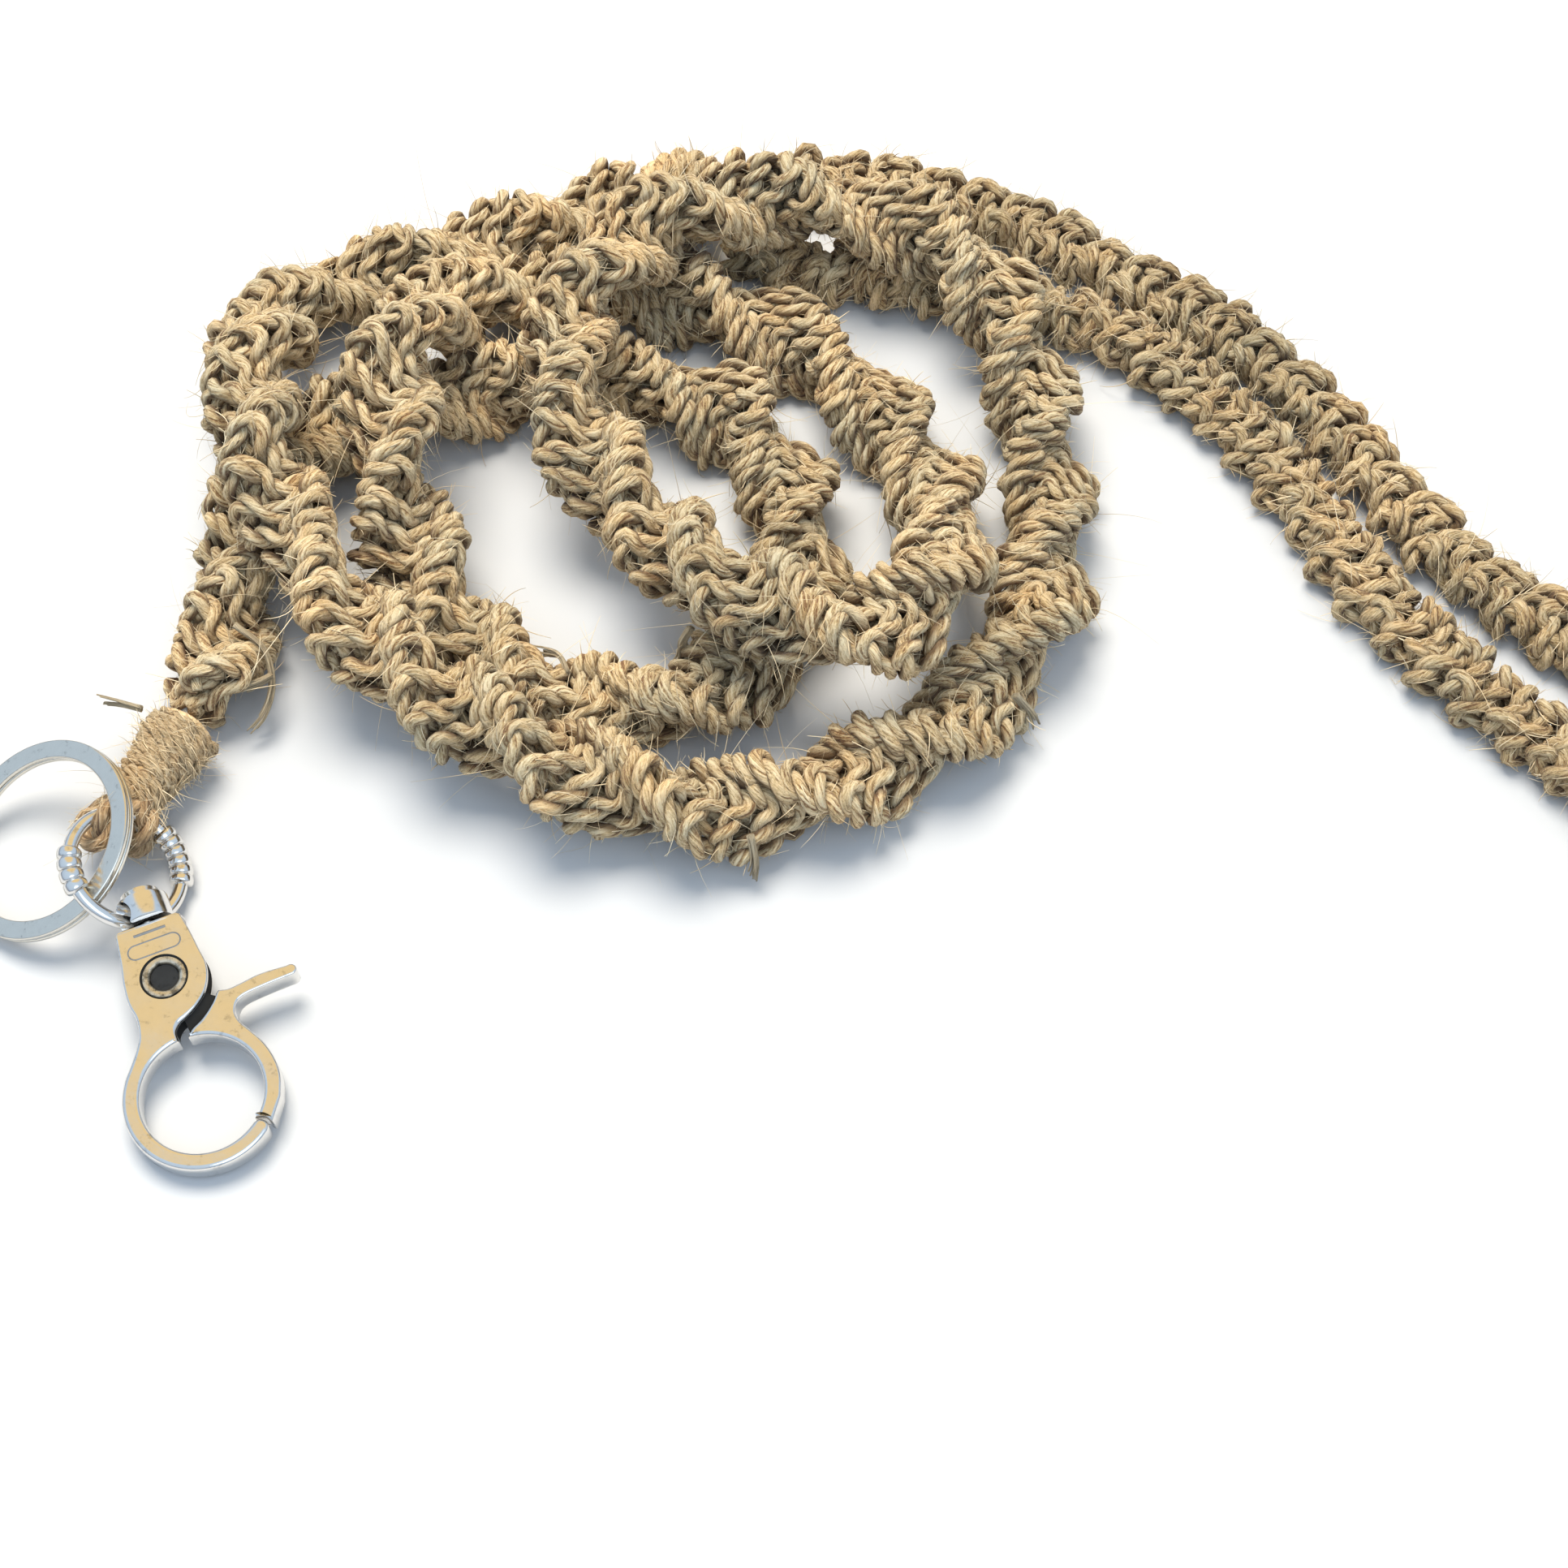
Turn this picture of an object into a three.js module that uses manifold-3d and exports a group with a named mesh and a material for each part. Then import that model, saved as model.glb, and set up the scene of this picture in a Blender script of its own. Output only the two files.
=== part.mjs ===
// Knotted jute lanyard with a swivel trigger clasp and a key ring. Millimetres, +Z up, lying on a table.
// The clasp's own frame: x to the lever side, y towards the swivel, z out of the front face, and the
// origin at the centre of the hook's eye at half thickness.
import * as THREE from 'three';
import { mergeVertices } from 'three/addons/utils/BufferGeometryUtils.js';
import Module from 'manifold-3d';

const wasm = await Module();
wasm.setup();

// ---- driving dimensions -------------------------------------------------------------------------
const gap = 0.3;                      // clearance between neighbouring solids
const past = 0.5;                     // how far a cutting shape runs beyond each face it cuts
const clasp = { x: 12.52, y: -20.88, z: 2.7, turn: 22.3, lift: 7, thick: 3.2 };
const eye = { inner: 7, outer: 9, parting: -52.4, top: 95.5 };
const rivet = {
  y: 15.2, hole: 1.55, shank: 2, flange: 2.6, low: 1.26, high: 1.56, bottom: -0.5, edge: 0.2, play: 0.15,
};
const counterbore = { radius: 2.8, floor: 1.18 };
const slot = { thick: 1.9, ring: 4.25, arm: 7.4, from: -97, to: 4 };
const root = { thick: 1.3, ring: 3.3, arm: 7, from: -84, to: -41, play: 0.25, cheek: 6.5 };
const gate = { tipGap: 4, seam: 55, lapFrom: 50, lapTo: 84, lapCut: 1.2 };
const spring = { inner: 3.55, outer: 3.95, thick: 1.2, from: 40, to: 258 };
const stud = {
  shank: 0.8, bore: 1.02, foot: 1.2, footBore: 1.42, footLow: 19.5, footHigh: 20.1, step: 20.4,
};
const barrel = { radius: 3.1, low: 22.8, high: 26, edge: 0.3, cap: 2.3, top: 27, roll: 37.3, hole: 24.1 };
const boss = { radius: 4.1, low: 21, high: 22.4 };
const wire = { ring: 7.05, radius: 0.85, bead: 1.45, beadLength: 1.8 };
const beads = [-72, -87, -102, 62, 77.4, 92.8, 108.2];
const bail = { x: 0.28, y: 7.52, z: 5.97, turn: 25.5, lean: 2.75, roll: 37 };
const keyRing = {
  x: -10.21, y: 11.28, z: 6.1, tilt: -25.2, turn: 28.4, outer: 12.5, inner: 10.2,
  turnThick: 0.75, turnGap: 0.1, stepAngle: 40, swept: 712, first: 4, start: 190,
};
const sleeve = { x: -1.93, y: 14.2, z: 5.64, radius: 3.1, flare: 0.2, half: 3.6, contact: 9 };
const wireRoom = 0.8;                 // how far a hole for the wire runs beyond what it passes through
const studRoom = 0.2;                 // clearance round the wire in the stud's head
const collar = { start: [-1.9, 14.2, 5.6], end: [4.8, 28.7, 5.2], stem: 2.6, stemLength: 15.9 };
const wrap = { from: 3.6, length: 12, turns: 10, bore: 2.9, radius: 4.3, groove: 0.35, crown: 0.3 };
const sinnet = { radius: 5.2, sides: 10, steps: 52 };
const band = { width: 9.5, thick: 6.5, corner: 1.9, steps: 28 };
const knot = { x: 64, y: 118.89, z: 6.2, across: 6.2, along: 8, high: 5.8 };

// Hand-laid centreline of the twisted stretch, from the collar to the fork.
const spiralRoute = [
  [5.2, 29.8, 5.3], [8.6, 45.7, 5.6], [9.6, 63.7, 5.6], [19.6, 76.7, 5.6], [48.6, 83.9, 5.6],
  [69.1, 79.7, 5.6], [79.6, 61.7, 5.6], [78.1, 43.2, 5.6], [64.1, 31.1, 5.6], [46.6, 34.1, 5.6],
  [32.1, 50.7, 7.5], [27.6, 66.2, 16.8], [29.2, 82.2, 17.8], [34.6, 94.7, 9.5], [45.6, 100.7, 5.6],
  [66.6, 99, 5.6], [84.6, 86.7, 5.6], [96.1, 68.7, 6.5], [98.9, 50.7, 13], [94.6, 37.2, 17.4],
  [85.1, 33, 17.8], [74.6, 38.7, 18], [61.6, 53.2, 13], [51.6, 68.7, 14.5], [50.2, 83.7, 17.6],
  [57.1, 98.2, 17.6], [70.6, 108.5, 15], [88.6, 108.7, 13.2], [104.1, 98.7, 12.3], [112.6, 71.7, 5.6],
  [109.6, 43.7, 5.6], [94.6, 24.9, 5.6], [68.6, 15.5, 6.5], [44.1, 23.3, 11.3], [23.1, 41.3, 13],
  [13.1, 59.2, 17.4], [8.6, 79.7, 14.5], [12.1, 98.2, 6], [33.6, 108.7, 5.6], [56.9, 118, 5.6],
];
// Hand-laid centreline of the flat neck loop, from the fork out and back to the fork.
const neckHeight = 3.3;
const neckRoute = [
  [72.2, 123.7], [82.2, 124.9], [93.9, 123.9], [108.9, 117.7], [127.7, 104.9], [144.4, 89.6],
  [155.6, 72.2], [164.2, 57.1], [177.9, 43.1], [196.6, 26.2], [218.6, 13.7], [243.6, 5.7], [268.6, 2.2],
  [290.6, 1.7], [306.6, -5.3], [312.6, -18.3], [304.6, -31.3], [286.6, -36.3], [258.6, -30.3],
  [235.6, -21.3], [212.6, -10.3], [192.6, 4.7], [174.7, 24.7], [165.1, 35.1], [154.7, 49.1],
  [146.3, 66.6], [137, 82.2], [123.7, 95.6], [109.3, 101.5], [91.2, 106.2], [78.1, 108.5], [70.1, 113],
];

// ---- materials ----------------------------------------------------------------------------------
const nickel = () => new THREE.MeshStandardMaterial({ color: 0xc9c6c0, roughness: 0.18, metalness: 1 });
const steel = () => new THREE.MeshStandardMaterial({ color: 0xb9bcc0, roughness: 0.25, metalness: 1 });
const springSteel = () => new THREE.MeshStandardMaterial({ color: 0x8d8f92, roughness: 0.4, metalness: 1 });
const jute = () => new THREE.MeshStandardMaterial({ color: 0xb49b73, roughness: 0.95, metalness: 0 });
const darkJute = () => new THREE.MeshStandardMaterial({ color: 0x8a7150, roughness: 0.95, metalness: 0 });

// ---- helpers ------------------------------------------------------------------------------------
const rad = THREE.MathUtils.degToRad;
const vec = ([x, y, z]) => new THREE.Vector3(x, y, z);

function solidOf(geometry) {
  geometry.deleteAttribute('normal');
  geometry.deleteAttribute('uv');
  const merged = mergeVertices(geometry, 1e-4);
  const vertProperties = new Float32Array(merged.attributes.position.array);
  const triVerts = new Uint32Array(merged.index.array);
  return new wasm.Manifold(new wasm.Mesh({ numProp: 3, vertProperties, triVerts }));
}

function geometryOf(solid) {
  const mesh = solid.getMesh();
  const geometry = new THREE.BufferGeometry();
  geometry.setAttribute('position', new THREE.BufferAttribute(new Float32Array(mesh.vertProperties), 3));
  geometry.setIndex(new THREE.BufferAttribute(new Uint32Array(mesh.triVerts), 1));
  geometry.computeVertexNormals();
  return geometry;
}

function named(name, geometry, material) {
  const mesh = new THREE.Mesh(geometry, material);
  mesh.name = name;
  return mesh;
}

// A flat shape given thickness, centred on z = 0.
function plate(shape, thick, curveSegments = 12) {
  const options = { depth: thick, bevelEnabled: false, curveSegments };
  return solidOf(new THREE.ExtrudeGeometry(shape, options).translate(0, 0, -thick / 2));
}

// A band of a ring between two angles in degrees, round (x, y).
function sector(x, y, inner, outer, from, to) {
  const shape = new THREE.Shape();
  shape.absarc(x, y, outer, rad(from), rad(to), false);
  shape.absarc(x, y, inner, rad(to), rad(from), true);
  shape.closePath();
  return shape;
}

function disc(x, y, radius) {
  const shape = new THREE.Shape();
  shape.absarc(x, y, radius, 0, 2 * Math.PI, false);
  return shape;
}

function outline(points) {
  return new THREE.Shape(points.map(([x, y]) => new THREE.Vector2(x, y)));
}

function lathe(profile, sides) {
  return new THREE.LatheGeometry(profile.map(([r, y]) => new THREE.Vector2(r, y)), sides);
}

// A hole for the bent wire, as a solid round +Y: it flares with the wire's curve, so the wire can swing.
function flaredHole(half, clearance, sides = 16) {
  const stations = 8;
  const profile = [[0, -half]];
  for (let i = 0; i <= stations; i += 1) {
    const t = -half + (2 * half * i) / stations;
    const bow = wire.ring - Math.sqrt(wire.ring ** 2 - t ** 2);
    profile.push([wire.radius + clearance + bow, t]);
  }
  profile.push([0, half]);
  return lathe(profile, sides);
}

// ---- the hook: body, lever, rivet and spring -----------------------------------------------------
const tip = {
  radius: (eye.outer - eye.inner) / 2,
  middle: (eye.outer + eye.inner) / 2,
};
const tipX = tip.middle * Math.cos(rad(eye.parting));
const tipY = tip.middle * Math.sin(rad(eye.parting));
const through = clasp.thick + 2 * past;

// A round recess in a face, cut from above it down to its floor.
function rivetRecess() {
  const depth = clasp.thick / 2 - counterbore.floor + past;
  return solidOf(new THREE.CylinderGeometry(counterbore.radius, counterbore.radius, depth, 28)
    .rotateX(Math.PI / 2).translate(0, rivet.y, counterbore.floor + depth / 2));
}

function claspBody() {
  const face = outline([
    [-3.9, boss.high], [-4.27, 18.6], [-4.66, 16], [-4.75, 13.4], [-4.4, 11.3], [-4.7, 9.2], [-5.4, 7.9],
    [-6, 6.2], [-4.2, 5.6], [-0.67, 7], [-0.31, 8.79], [0.9, 9.46], [2.64, 10.55], [3.89, 11.8],
    [4.7, 13.5], [4.95, 15.2], [4.7, 17.1], [4.41, 19.4], [3.9, boss.high],
  ]);
  const bossHigh = boss.high - boss.low;
  const bossMiddle = (boss.low + boss.high) / 2;
  const bossShape = new THREE.CylinderGeometry(boss.radius, boss.radius, bossHigh, 32);
  const frontCut = new THREE.BoxGeometry(3 * boss.radius, bossHigh + 2 * past, boss.radius);
  frontCut.translate(0, bossMiddle, (clasp.thick + boss.radius) / 2);
  let body = plate(face, clasp.thick)
    .add(plate(sector(0, 0, eye.inner, eye.outer, eye.top, 360 + eye.parting), clasp.thick, 36))
    .add(plate(disc(tipX, tipY, tip.radius), clasp.thick));
  body = body.subtract(plate(disc(0, 0, eye.inner), through, 36));
  body = body.add(solidOf(bossShape.translate(0, bossMiddle, 0)).subtract(solidOf(frontCut)));
  const bore = [
    [0, rivet.y], [stud.footBore, rivet.y], [stud.footBore, stud.step], [stud.bore, stud.step],
    [stud.bore, boss.high + past], [0, boss.high + past],
  ];
  return body
    .subtract(rivetRecess())
    .subtract(rivetRecess().rotate(0, 180, 0))
    .subtract(plate(disc(0, rivet.y, slot.ring), slot.thick))
    .subtract(plate(sector(0, rivet.y, 1, slot.arm, slot.from, slot.to), slot.thick))
    .subtract(plate(disc(0, rivet.y, rivet.shank + rivet.play), through))
    .subtract(solidOf(lathe(bore, 24)));
}

function triggerLever() {
  const arm = outline([
    [0.46, 6.82], [0.64, 7.45], [2.56, 8.64], [4.21, 9.95], [5.23, 11.24], [7.7, 11.1], [10.2, 11.4],
    [13.65, 11.05], [14.3, 10.85], [14.45, 10.3], [13.6, 9.9], [10.55, 9.8], [7.6, 9.5], [6.8, 8.96],
    [6.4, 8.2], [6.45, 6.2], [5, 4.9], [2, 6.71],
  ]);
  const hookGap = new THREE.Shape();
  hookGap.absarc(tipX, tipY, tip.radius + gap, 0, 2 * Math.PI, false);
  const lap = sector(0, 0, eye.inner, eye.outer - gate.lapCut, gate.lapFrom, gate.lapTo);
  const thick = plate(arm, clasp.thick)
    .add(plate(sector(0, 0, eye.inner, eye.outer, eye.parting + gate.tipGap, gate.seam), clasp.thick, 30))
    .add(plate(lap, clasp.thick, 12))
    .subtract(plate(disc(0, 0, eye.inner), through, 36))
    .subtract(plate(disc(0, rivet.y, root.cheek), through, 30))
    .subtract(plate(hookGap, through));
  return thick
    .add(plate(disc(0, rivet.y, root.ring), root.thick))
    .add(plate(sector(0, rivet.y, 1, root.arm, root.from, root.to), root.thick))
    .subtract(plate(disc(0, rivet.y, rivet.shank + root.play), through));
}

function rivetShape() {
  const face = rivet.low;
  const top = rivet.high;
  const profile = [
    [0, -top], [rivet.flange - rivet.edge, -top], [rivet.flange, -face], [rivet.shank, -face],
    [rivet.shank, face], [rivet.flange, face], [rivet.flange - rivet.edge, top], [rivet.hole, top],
    [rivet.hole, rivet.bottom], [0, rivet.bottom],
  ];
  return lathe(profile, 24).rotateX(Math.PI / 2).translate(0, rivet.y, 0);
}

function studShape() {
  const profile = [
    [0, stud.footLow], [stud.foot, stud.footLow], [stud.foot, stud.footHigh], [stud.shank, stud.footHigh],
    [stud.shank, barrel.low], [barrel.radius, barrel.low], [barrel.radius, barrel.high],
    [barrel.cap, barrel.high + barrel.edge], [barrel.cap, barrel.top], [0, barrel.top],
  ];
  const hole = flaredHole(barrel.radius + wireRoom, studRoom)
    .rotateZ(-Math.PI / 2).translate(0, barrel.hole, 0);
  return geometryOf(solidOf(lathe(profile, 28)).subtract(solidOf(hole)));
}

function hook() {
  const group = new THREE.Group();
  group.position.set(clasp.x, clasp.y, clasp.z);
  group.rotation.set(rad(clasp.lift), 0, rad(clasp.turn), 'ZXY');
  const springBand = sector(0, rivet.y, spring.inner, spring.outer, spring.from, spring.to);
  const head = named('swivel_stud', studShape(), nickel());
  head.rotation.y = rad(barrel.roll);
  group.add(
    named('clasp_body', geometryOf(claspBody()), nickel()),
    named('trigger_lever', geometryOf(triggerLever()), nickel()),
    named('pivot_rivet', rivetShape(), steel()),
    named('lever_spring', geometryOf(plate(springBand, spring.thick, 20)), springSteel()),
    head,
  );
  return group;
}

// ---- rings --------------------------------------------------------------------------------------
function bailShape() {
  const around = 120;
  const geometry = new THREE.TorusGeometry(wire.ring, wire.radius, 10, around);
  const at = geometry.attributes.position;
  const point = new THREE.Vector3();
  const middle = new THREE.Vector3();
  for (let i = 0; i < at.count; i += 1) {
    point.fromBufferAttribute(at, i);
    const angle = THREE.MathUtils.radToDeg(Math.atan2(point.x, point.y));
    middle.set(point.x, point.y, 0).setLength(wire.ring);
    const reach = beads.map((bead) => Math.abs(rad(angle - bead)) * wire.ring / (wire.beadLength / 2));
    const near = Math.min(1, ...reach);
    const radius = wire.radius + (wire.bead - wire.radius) * Math.sqrt(1 - near ** 2);
    point.sub(middle).setLength(radius).add(middle);
    at.setXYZ(i, point.x, point.y, point.z);
  }
  return geometryOf(solidOf(geometry));
}

function bailRing() {
  const mesh = named('bail_ring', bailShape(), nickel());
  mesh.position.set(bail.x, bail.y, bail.z);
  mesh.rotation.set(rad(bail.lean), rad(bail.roll), rad(bail.turn), 'ZXY');
  return mesh;
}

// Two flat turns of one strip, with the step from the lower turn to the upper one between its ends.
function splitRing() {
  const around = 96;
  const rise = keyRing.turnThick + keyRing.turnGap;
  const wide = keyRing.outer - keyRing.inner;
  const geometry = new THREE.BoxGeometry(wide, keyRing.turnThick, 1, 1, 1, around);
  const at = geometry.attributes.position;
  for (let i = 0; i < at.count; i += 1) {
    const angle = keyRing.first + (at.getZ(i) + 0.5) * keyRing.swept;
    const lift = THREE.MathUtils.clamp((angle - 360) / keyRing.stepAngle + 0.5, 0, 1) - 0.5;
    const radius = (keyRing.outer + keyRing.inner) / 2 + at.getX(i);
    const place = rad(keyRing.start - angle);
    at.setXYZ(i, radius * Math.cos(place), radius * Math.sin(place), at.getY(i) + lift * rise);
  }
  const mesh = named('split_ring', geometryOf(solidOf(geometry)), steel());
  mesh.position.set(keyRing.x, keyRing.y, keyRing.z);
  mesh.rotation.set(0, rad(keyRing.tilt), rad(keyRing.turn), 'ZYX');
  return mesh;
}

// ---- cord end: loop on the bail and its whipping --------------------------------------------------
const collarStart = vec(collar.start);
const collarAxis = vec(collar.end).sub(collarStart).normalize();
const yUp = new THREE.Vector3(0, 1, 0);

function ontoCollar(geometry) {
  const turn = new THREE.Quaternion().setFromUnitVectors(yUp, collarAxis);
  return geometry.applyQuaternion(turn).translate(...collar.start);
}

function cordEye() {
  const stem = lathe([[0, 0], [collar.stem, 0], [collar.stem, collar.stemLength],
    [0, collar.stemLength]], 16);
  const bulge = sleeve.radius + sleeve.flare;
  const loop = lathe([[0, -sleeve.half], [bulge, -sleeve.half], [sleeve.radius, 0], [bulge, sleeve.half],
    [0, sleeve.half]], 18);
  const channel = flaredHole(sleeve.half + wireRoom, gap, 18);
  const along = new THREE.Vector3(1, 0, 0)
    .applyEuler(new THREE.Euler(rad(bail.lean), rad(bail.roll), rad(bail.turn), 'ZXY'));
  const across = new THREE.Vector3(0, 1, 0)
    .applyEuler(new THREE.Euler(rad(bail.lean), rad(bail.roll), rad(bail.turn), 'ZXY'));
  const contact = rad(sleeve.contact); // where the loop sits round the bail, from its far end
  const tangent = along.multiplyScalar(Math.cos(contact)).addScaledVector(across, -Math.sin(contact));
  const turn = new THREE.Quaternion().setFromUnitVectors(yUp, tangent.normalize());
  [loop, channel].forEach((piece) => piece.applyQuaternion(turn).translate(sleeve.x, sleeve.y, sleeve.z));
  const shoulder = wrap.from - gap;
  const room = lathe([[0, shoulder], [wrap.radius + 1, shoulder], [wrap.radius + 1, collar.stemLength],
    [0, collar.stemLength]], 18);
  const solid = solidOf(loop).subtract(solidOf(ontoCollar(room))).add(solidOf(ontoCollar(stem)))
    .subtract(solidOf(channel));
  return named('cord_eye', geometryOf(solid), darkJute());
}

function whipping() {
  const pitch = wrap.length / wrap.turns;
  const profile = [[wrap.bore, wrap.from]];
  for (let i = 0; i < wrap.turns; i += 1) {
    const low = wrap.from + i * pitch;
    profile.push([wrap.radius - wrap.groove, low], [wrap.radius, low + pitch * wrap.crown],
      [wrap.radius, low + pitch * (1 - wrap.crown)]);
  }
  profile.push([wrap.radius - wrap.groove, wrap.from + wrap.length], [wrap.bore, wrap.from + wrap.length],
    [wrap.bore, wrap.from]);
  return named('whipping', ontoCollar(lathe(profile, 18)), jute());
}

// ---- knotted cords --------------------------------------------------------------------------------
function ropeAlong(name, points, section, steps) {
  const extrudePath = new THREE.CatmullRomCurve3(points.map(vec), false, 'centripetal');
  const geometry = new THREE.ExtrudeGeometry(section, { steps, extrudePath, bevelEnabled: false });
  return named(name, geometry, jute());
}

function roundSection(radius, sides) {
  const corners = [];
  for (let i = 0; i < sides; i += 1) {
    const angle = (2 * Math.PI * i) / sides;
    corners.push([radius * Math.cos(angle), radius * Math.sin(angle)]);
  }
  return outline(corners);
}

// Flat section with its corners cut: x is the height of the band, y its width.
function bandSection() {
  const high = band.thick / 2;
  const wide = band.width / 2;
  const cut = band.corner;
  return outline([[-high, -wide + cut], [-high + cut, -wide], [high - cut, -wide], [high, -wide + cut],
    [high, wide - cut], [high - cut, wide], [-high + cut, wide], [-high, wide - cut]]);
}

function forkKnot() {
  const geometry = new THREE.SphereGeometry(1, 18, 12);
  geometry.rotateX(Math.PI / 2).scale(knot.across, knot.along, knot.high);
  geometry.translate(knot.x, knot.y, knot.z);
  return named('fork_knot', geometry, jute());
}

// ---- assembly -------------------------------------------------------------------------------------
const lanyard = new THREE.Group();
lanyard.add(
  hook(),
  bailRing(),
  splitRing(),
  cordEye(),
  whipping(),
  ropeAlong('spiral_sinnet', spiralRoute, roundSection(sinnet.radius, sinnet.sides), sinnet.steps),
  ropeAlong('neck_sinnet', neckRoute.map(([x, y]) => [x, y, neckHeight]), bandSection(), band.steps),
  forkKnot(),
);

export default lanyard;
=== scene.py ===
"""Knotted jute lanyard with a swivel trigger clasp and a key ring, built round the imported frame.

Lengths are in metres. The metal shapes are drawn in millimetres, and scaled when they are placed.
"""

import math

import bmesh
import bpy
import numpy as np
from mathutils import Euler, Matrix, Vector
from mathutils.kdtree import KDTree


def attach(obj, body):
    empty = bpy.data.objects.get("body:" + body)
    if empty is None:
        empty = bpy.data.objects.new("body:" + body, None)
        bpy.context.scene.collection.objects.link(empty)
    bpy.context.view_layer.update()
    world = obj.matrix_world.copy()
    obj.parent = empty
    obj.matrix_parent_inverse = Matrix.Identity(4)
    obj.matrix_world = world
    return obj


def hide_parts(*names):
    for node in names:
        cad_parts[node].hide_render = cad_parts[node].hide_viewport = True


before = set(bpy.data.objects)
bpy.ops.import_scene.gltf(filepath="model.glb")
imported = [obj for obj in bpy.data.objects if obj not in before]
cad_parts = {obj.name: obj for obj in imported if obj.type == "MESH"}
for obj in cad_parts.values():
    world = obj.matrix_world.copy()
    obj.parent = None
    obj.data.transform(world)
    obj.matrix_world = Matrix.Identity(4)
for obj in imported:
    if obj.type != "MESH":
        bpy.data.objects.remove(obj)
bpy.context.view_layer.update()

MM = 0.001
TURN = 2 * math.pi
FLOOR_Z = 0.0
HAIR_TOP = 0.031  # no hair stands higher than this
SEED = 7
FIBRE_STRETCH = 110.0  # how fast the streaks change along a fibre, per metre
UP = np.array((0.0, 0.0, 1.0))

# ---- places and sizes, as in the CAD ----
CLASP_AT = Vector((12.52, -20.88, 2.7)) * MM
CLASP_TURN = Euler((math.radians(7), 0, math.radians(22.3)), "ZXY")
CLASP_THICK = 3.2
EYE_INNER, EYE_OUTER = 7.0, 9.0
EYE_MIDDLE = (EYE_INNER + EYE_OUTER) / 2
PARTING = -52.4  # angle on the eye where the gate meets the hook's tip
TIP_X, TIP_Y = EYE_MIDDLE * math.cos(math.radians(PARTING)), EYE_MIDDLE * math.sin(math.radians(PARTING))
CHEEK_GAP = 1.9  # slot between the cheeks of the body, where the lever's root turns
ROOT_REACH = 7.4
RIVET_Y = 15.2
RIVET_LOW, RIVET_TOP, RECESS_FLOOR = 1.26, 1.56, 1.18
BOSS_TOP = 22.4
STUD_ROLL, STUD_HOLE_Y = math.radians(37.3), 24.1
WIRE_RING, WIRE_RADIUS, BEAD_RADIUS, BEAD_NECK = 7.05, 0.85, 1.45, 1.05
BEAD_ROWS = ((54.7, 115.5, 6), (-109.3, -64.7, 4))  # from and to, in degrees, and how many discs
BAIL_AT = Vector((0.28, 7.52, 5.97)) * MM
BAIL_TURN = Euler((math.radians(2.75), math.radians(37), math.radians(25.5)), "ZXY")
KEY_RING_AT = Vector((-10.21, 11.28, 6.1)) * MM
KEY_RING_TILT, KEY_RING_TURN = math.radians(-25.2), math.radians(28.4)
KEY_RING_OUTER, KEY_RING_INNER, KEY_RING_STRIP = 12.5, 10.2, 0.75
EYE_LOOP_AT = np.array((-1.93, 14.2, 5.64))
EYE_LOOP_ANGLE = math.radians(9)
COLLAR_FROM, COLLAR_TO = np.array((-1.9, 14.2, 5.6)), np.array((4.8, 28.7, 5.2))
WRAP_FROM, WRAP_LENGTH = 2.4, 13.2
KNOT_AT, KNOT_SIZE = Vector((64.0, 118.89, 6.2)) * MM, (6.2, 8.0, 5.8)

SPIRAL_ROUTE = [
    (0.0052, 0.0298, 0.0053), (0.0086, 0.0457, 0.0056), (0.0096, 0.0637, 0.0056), (0.0196, 0.0767, 0.0056),
    (0.0486, 0.0839, 0.0056), (0.0691, 0.0797, 0.0056), (0.0796, 0.0617, 0.0056), (0.0781, 0.0432, 0.0056),
    (0.0641, 0.0311, 0.0056), (0.0466, 0.0341, 0.0056), (0.0321, 0.0507, 0.0075), (0.0276, 0.0662, 0.0168),
    (0.0292, 0.0822, 0.0178), (0.0346, 0.0947, 0.0095), (0.0456, 0.1007, 0.0056), (0.0666, 0.0990, 0.0056),
    (0.0846, 0.0867, 0.0056), (0.0961, 0.0687, 0.0065), (0.0989, 0.0507, 0.0130), (0.0946, 0.0372, 0.0174),
    (0.0851, 0.0330, 0.0178), (0.0746, 0.0387, 0.0180), (0.0616, 0.0532, 0.0130), (0.0516, 0.0687, 0.0145),
    (0.0502, 0.0837, 0.0176), (0.0571, 0.0982, 0.0176), (0.0706, 0.1085, 0.0150), (0.0886, 0.1087, 0.0132),
    (0.1041, 0.0987, 0.0123), (0.1126, 0.0717, 0.0056), (0.1096, 0.0437, 0.0056), (0.0946, 0.0249, 0.0056),
    (0.0686, 0.0155, 0.0065), (0.0441, 0.0233, 0.0113), (0.0231, 0.0413, 0.0130), (0.0131, 0.0592, 0.0174),
    (0.0086, 0.0797, 0.0145), (0.0121, 0.0982, 0.0060), (0.0336, 0.1087, 0.0056), (0.0569, 0.1180, 0.0056),
]
SPIRAL_TWINE, SPIRAL_PITCH, SPIRAL_TURN = 0.0028, 0.0030, 0.036
# beside the core, outermost, front, over the other cord, lean of the loops in pitches, and front bias
SPIRAL_SHAPE = (0.0031, 0.0058, 0.0020, 0.0028, 1.0, 0.0)
SPIRAL_CORE = (-0.0012, 0.0012)  # where the core cords lie across the band
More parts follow.
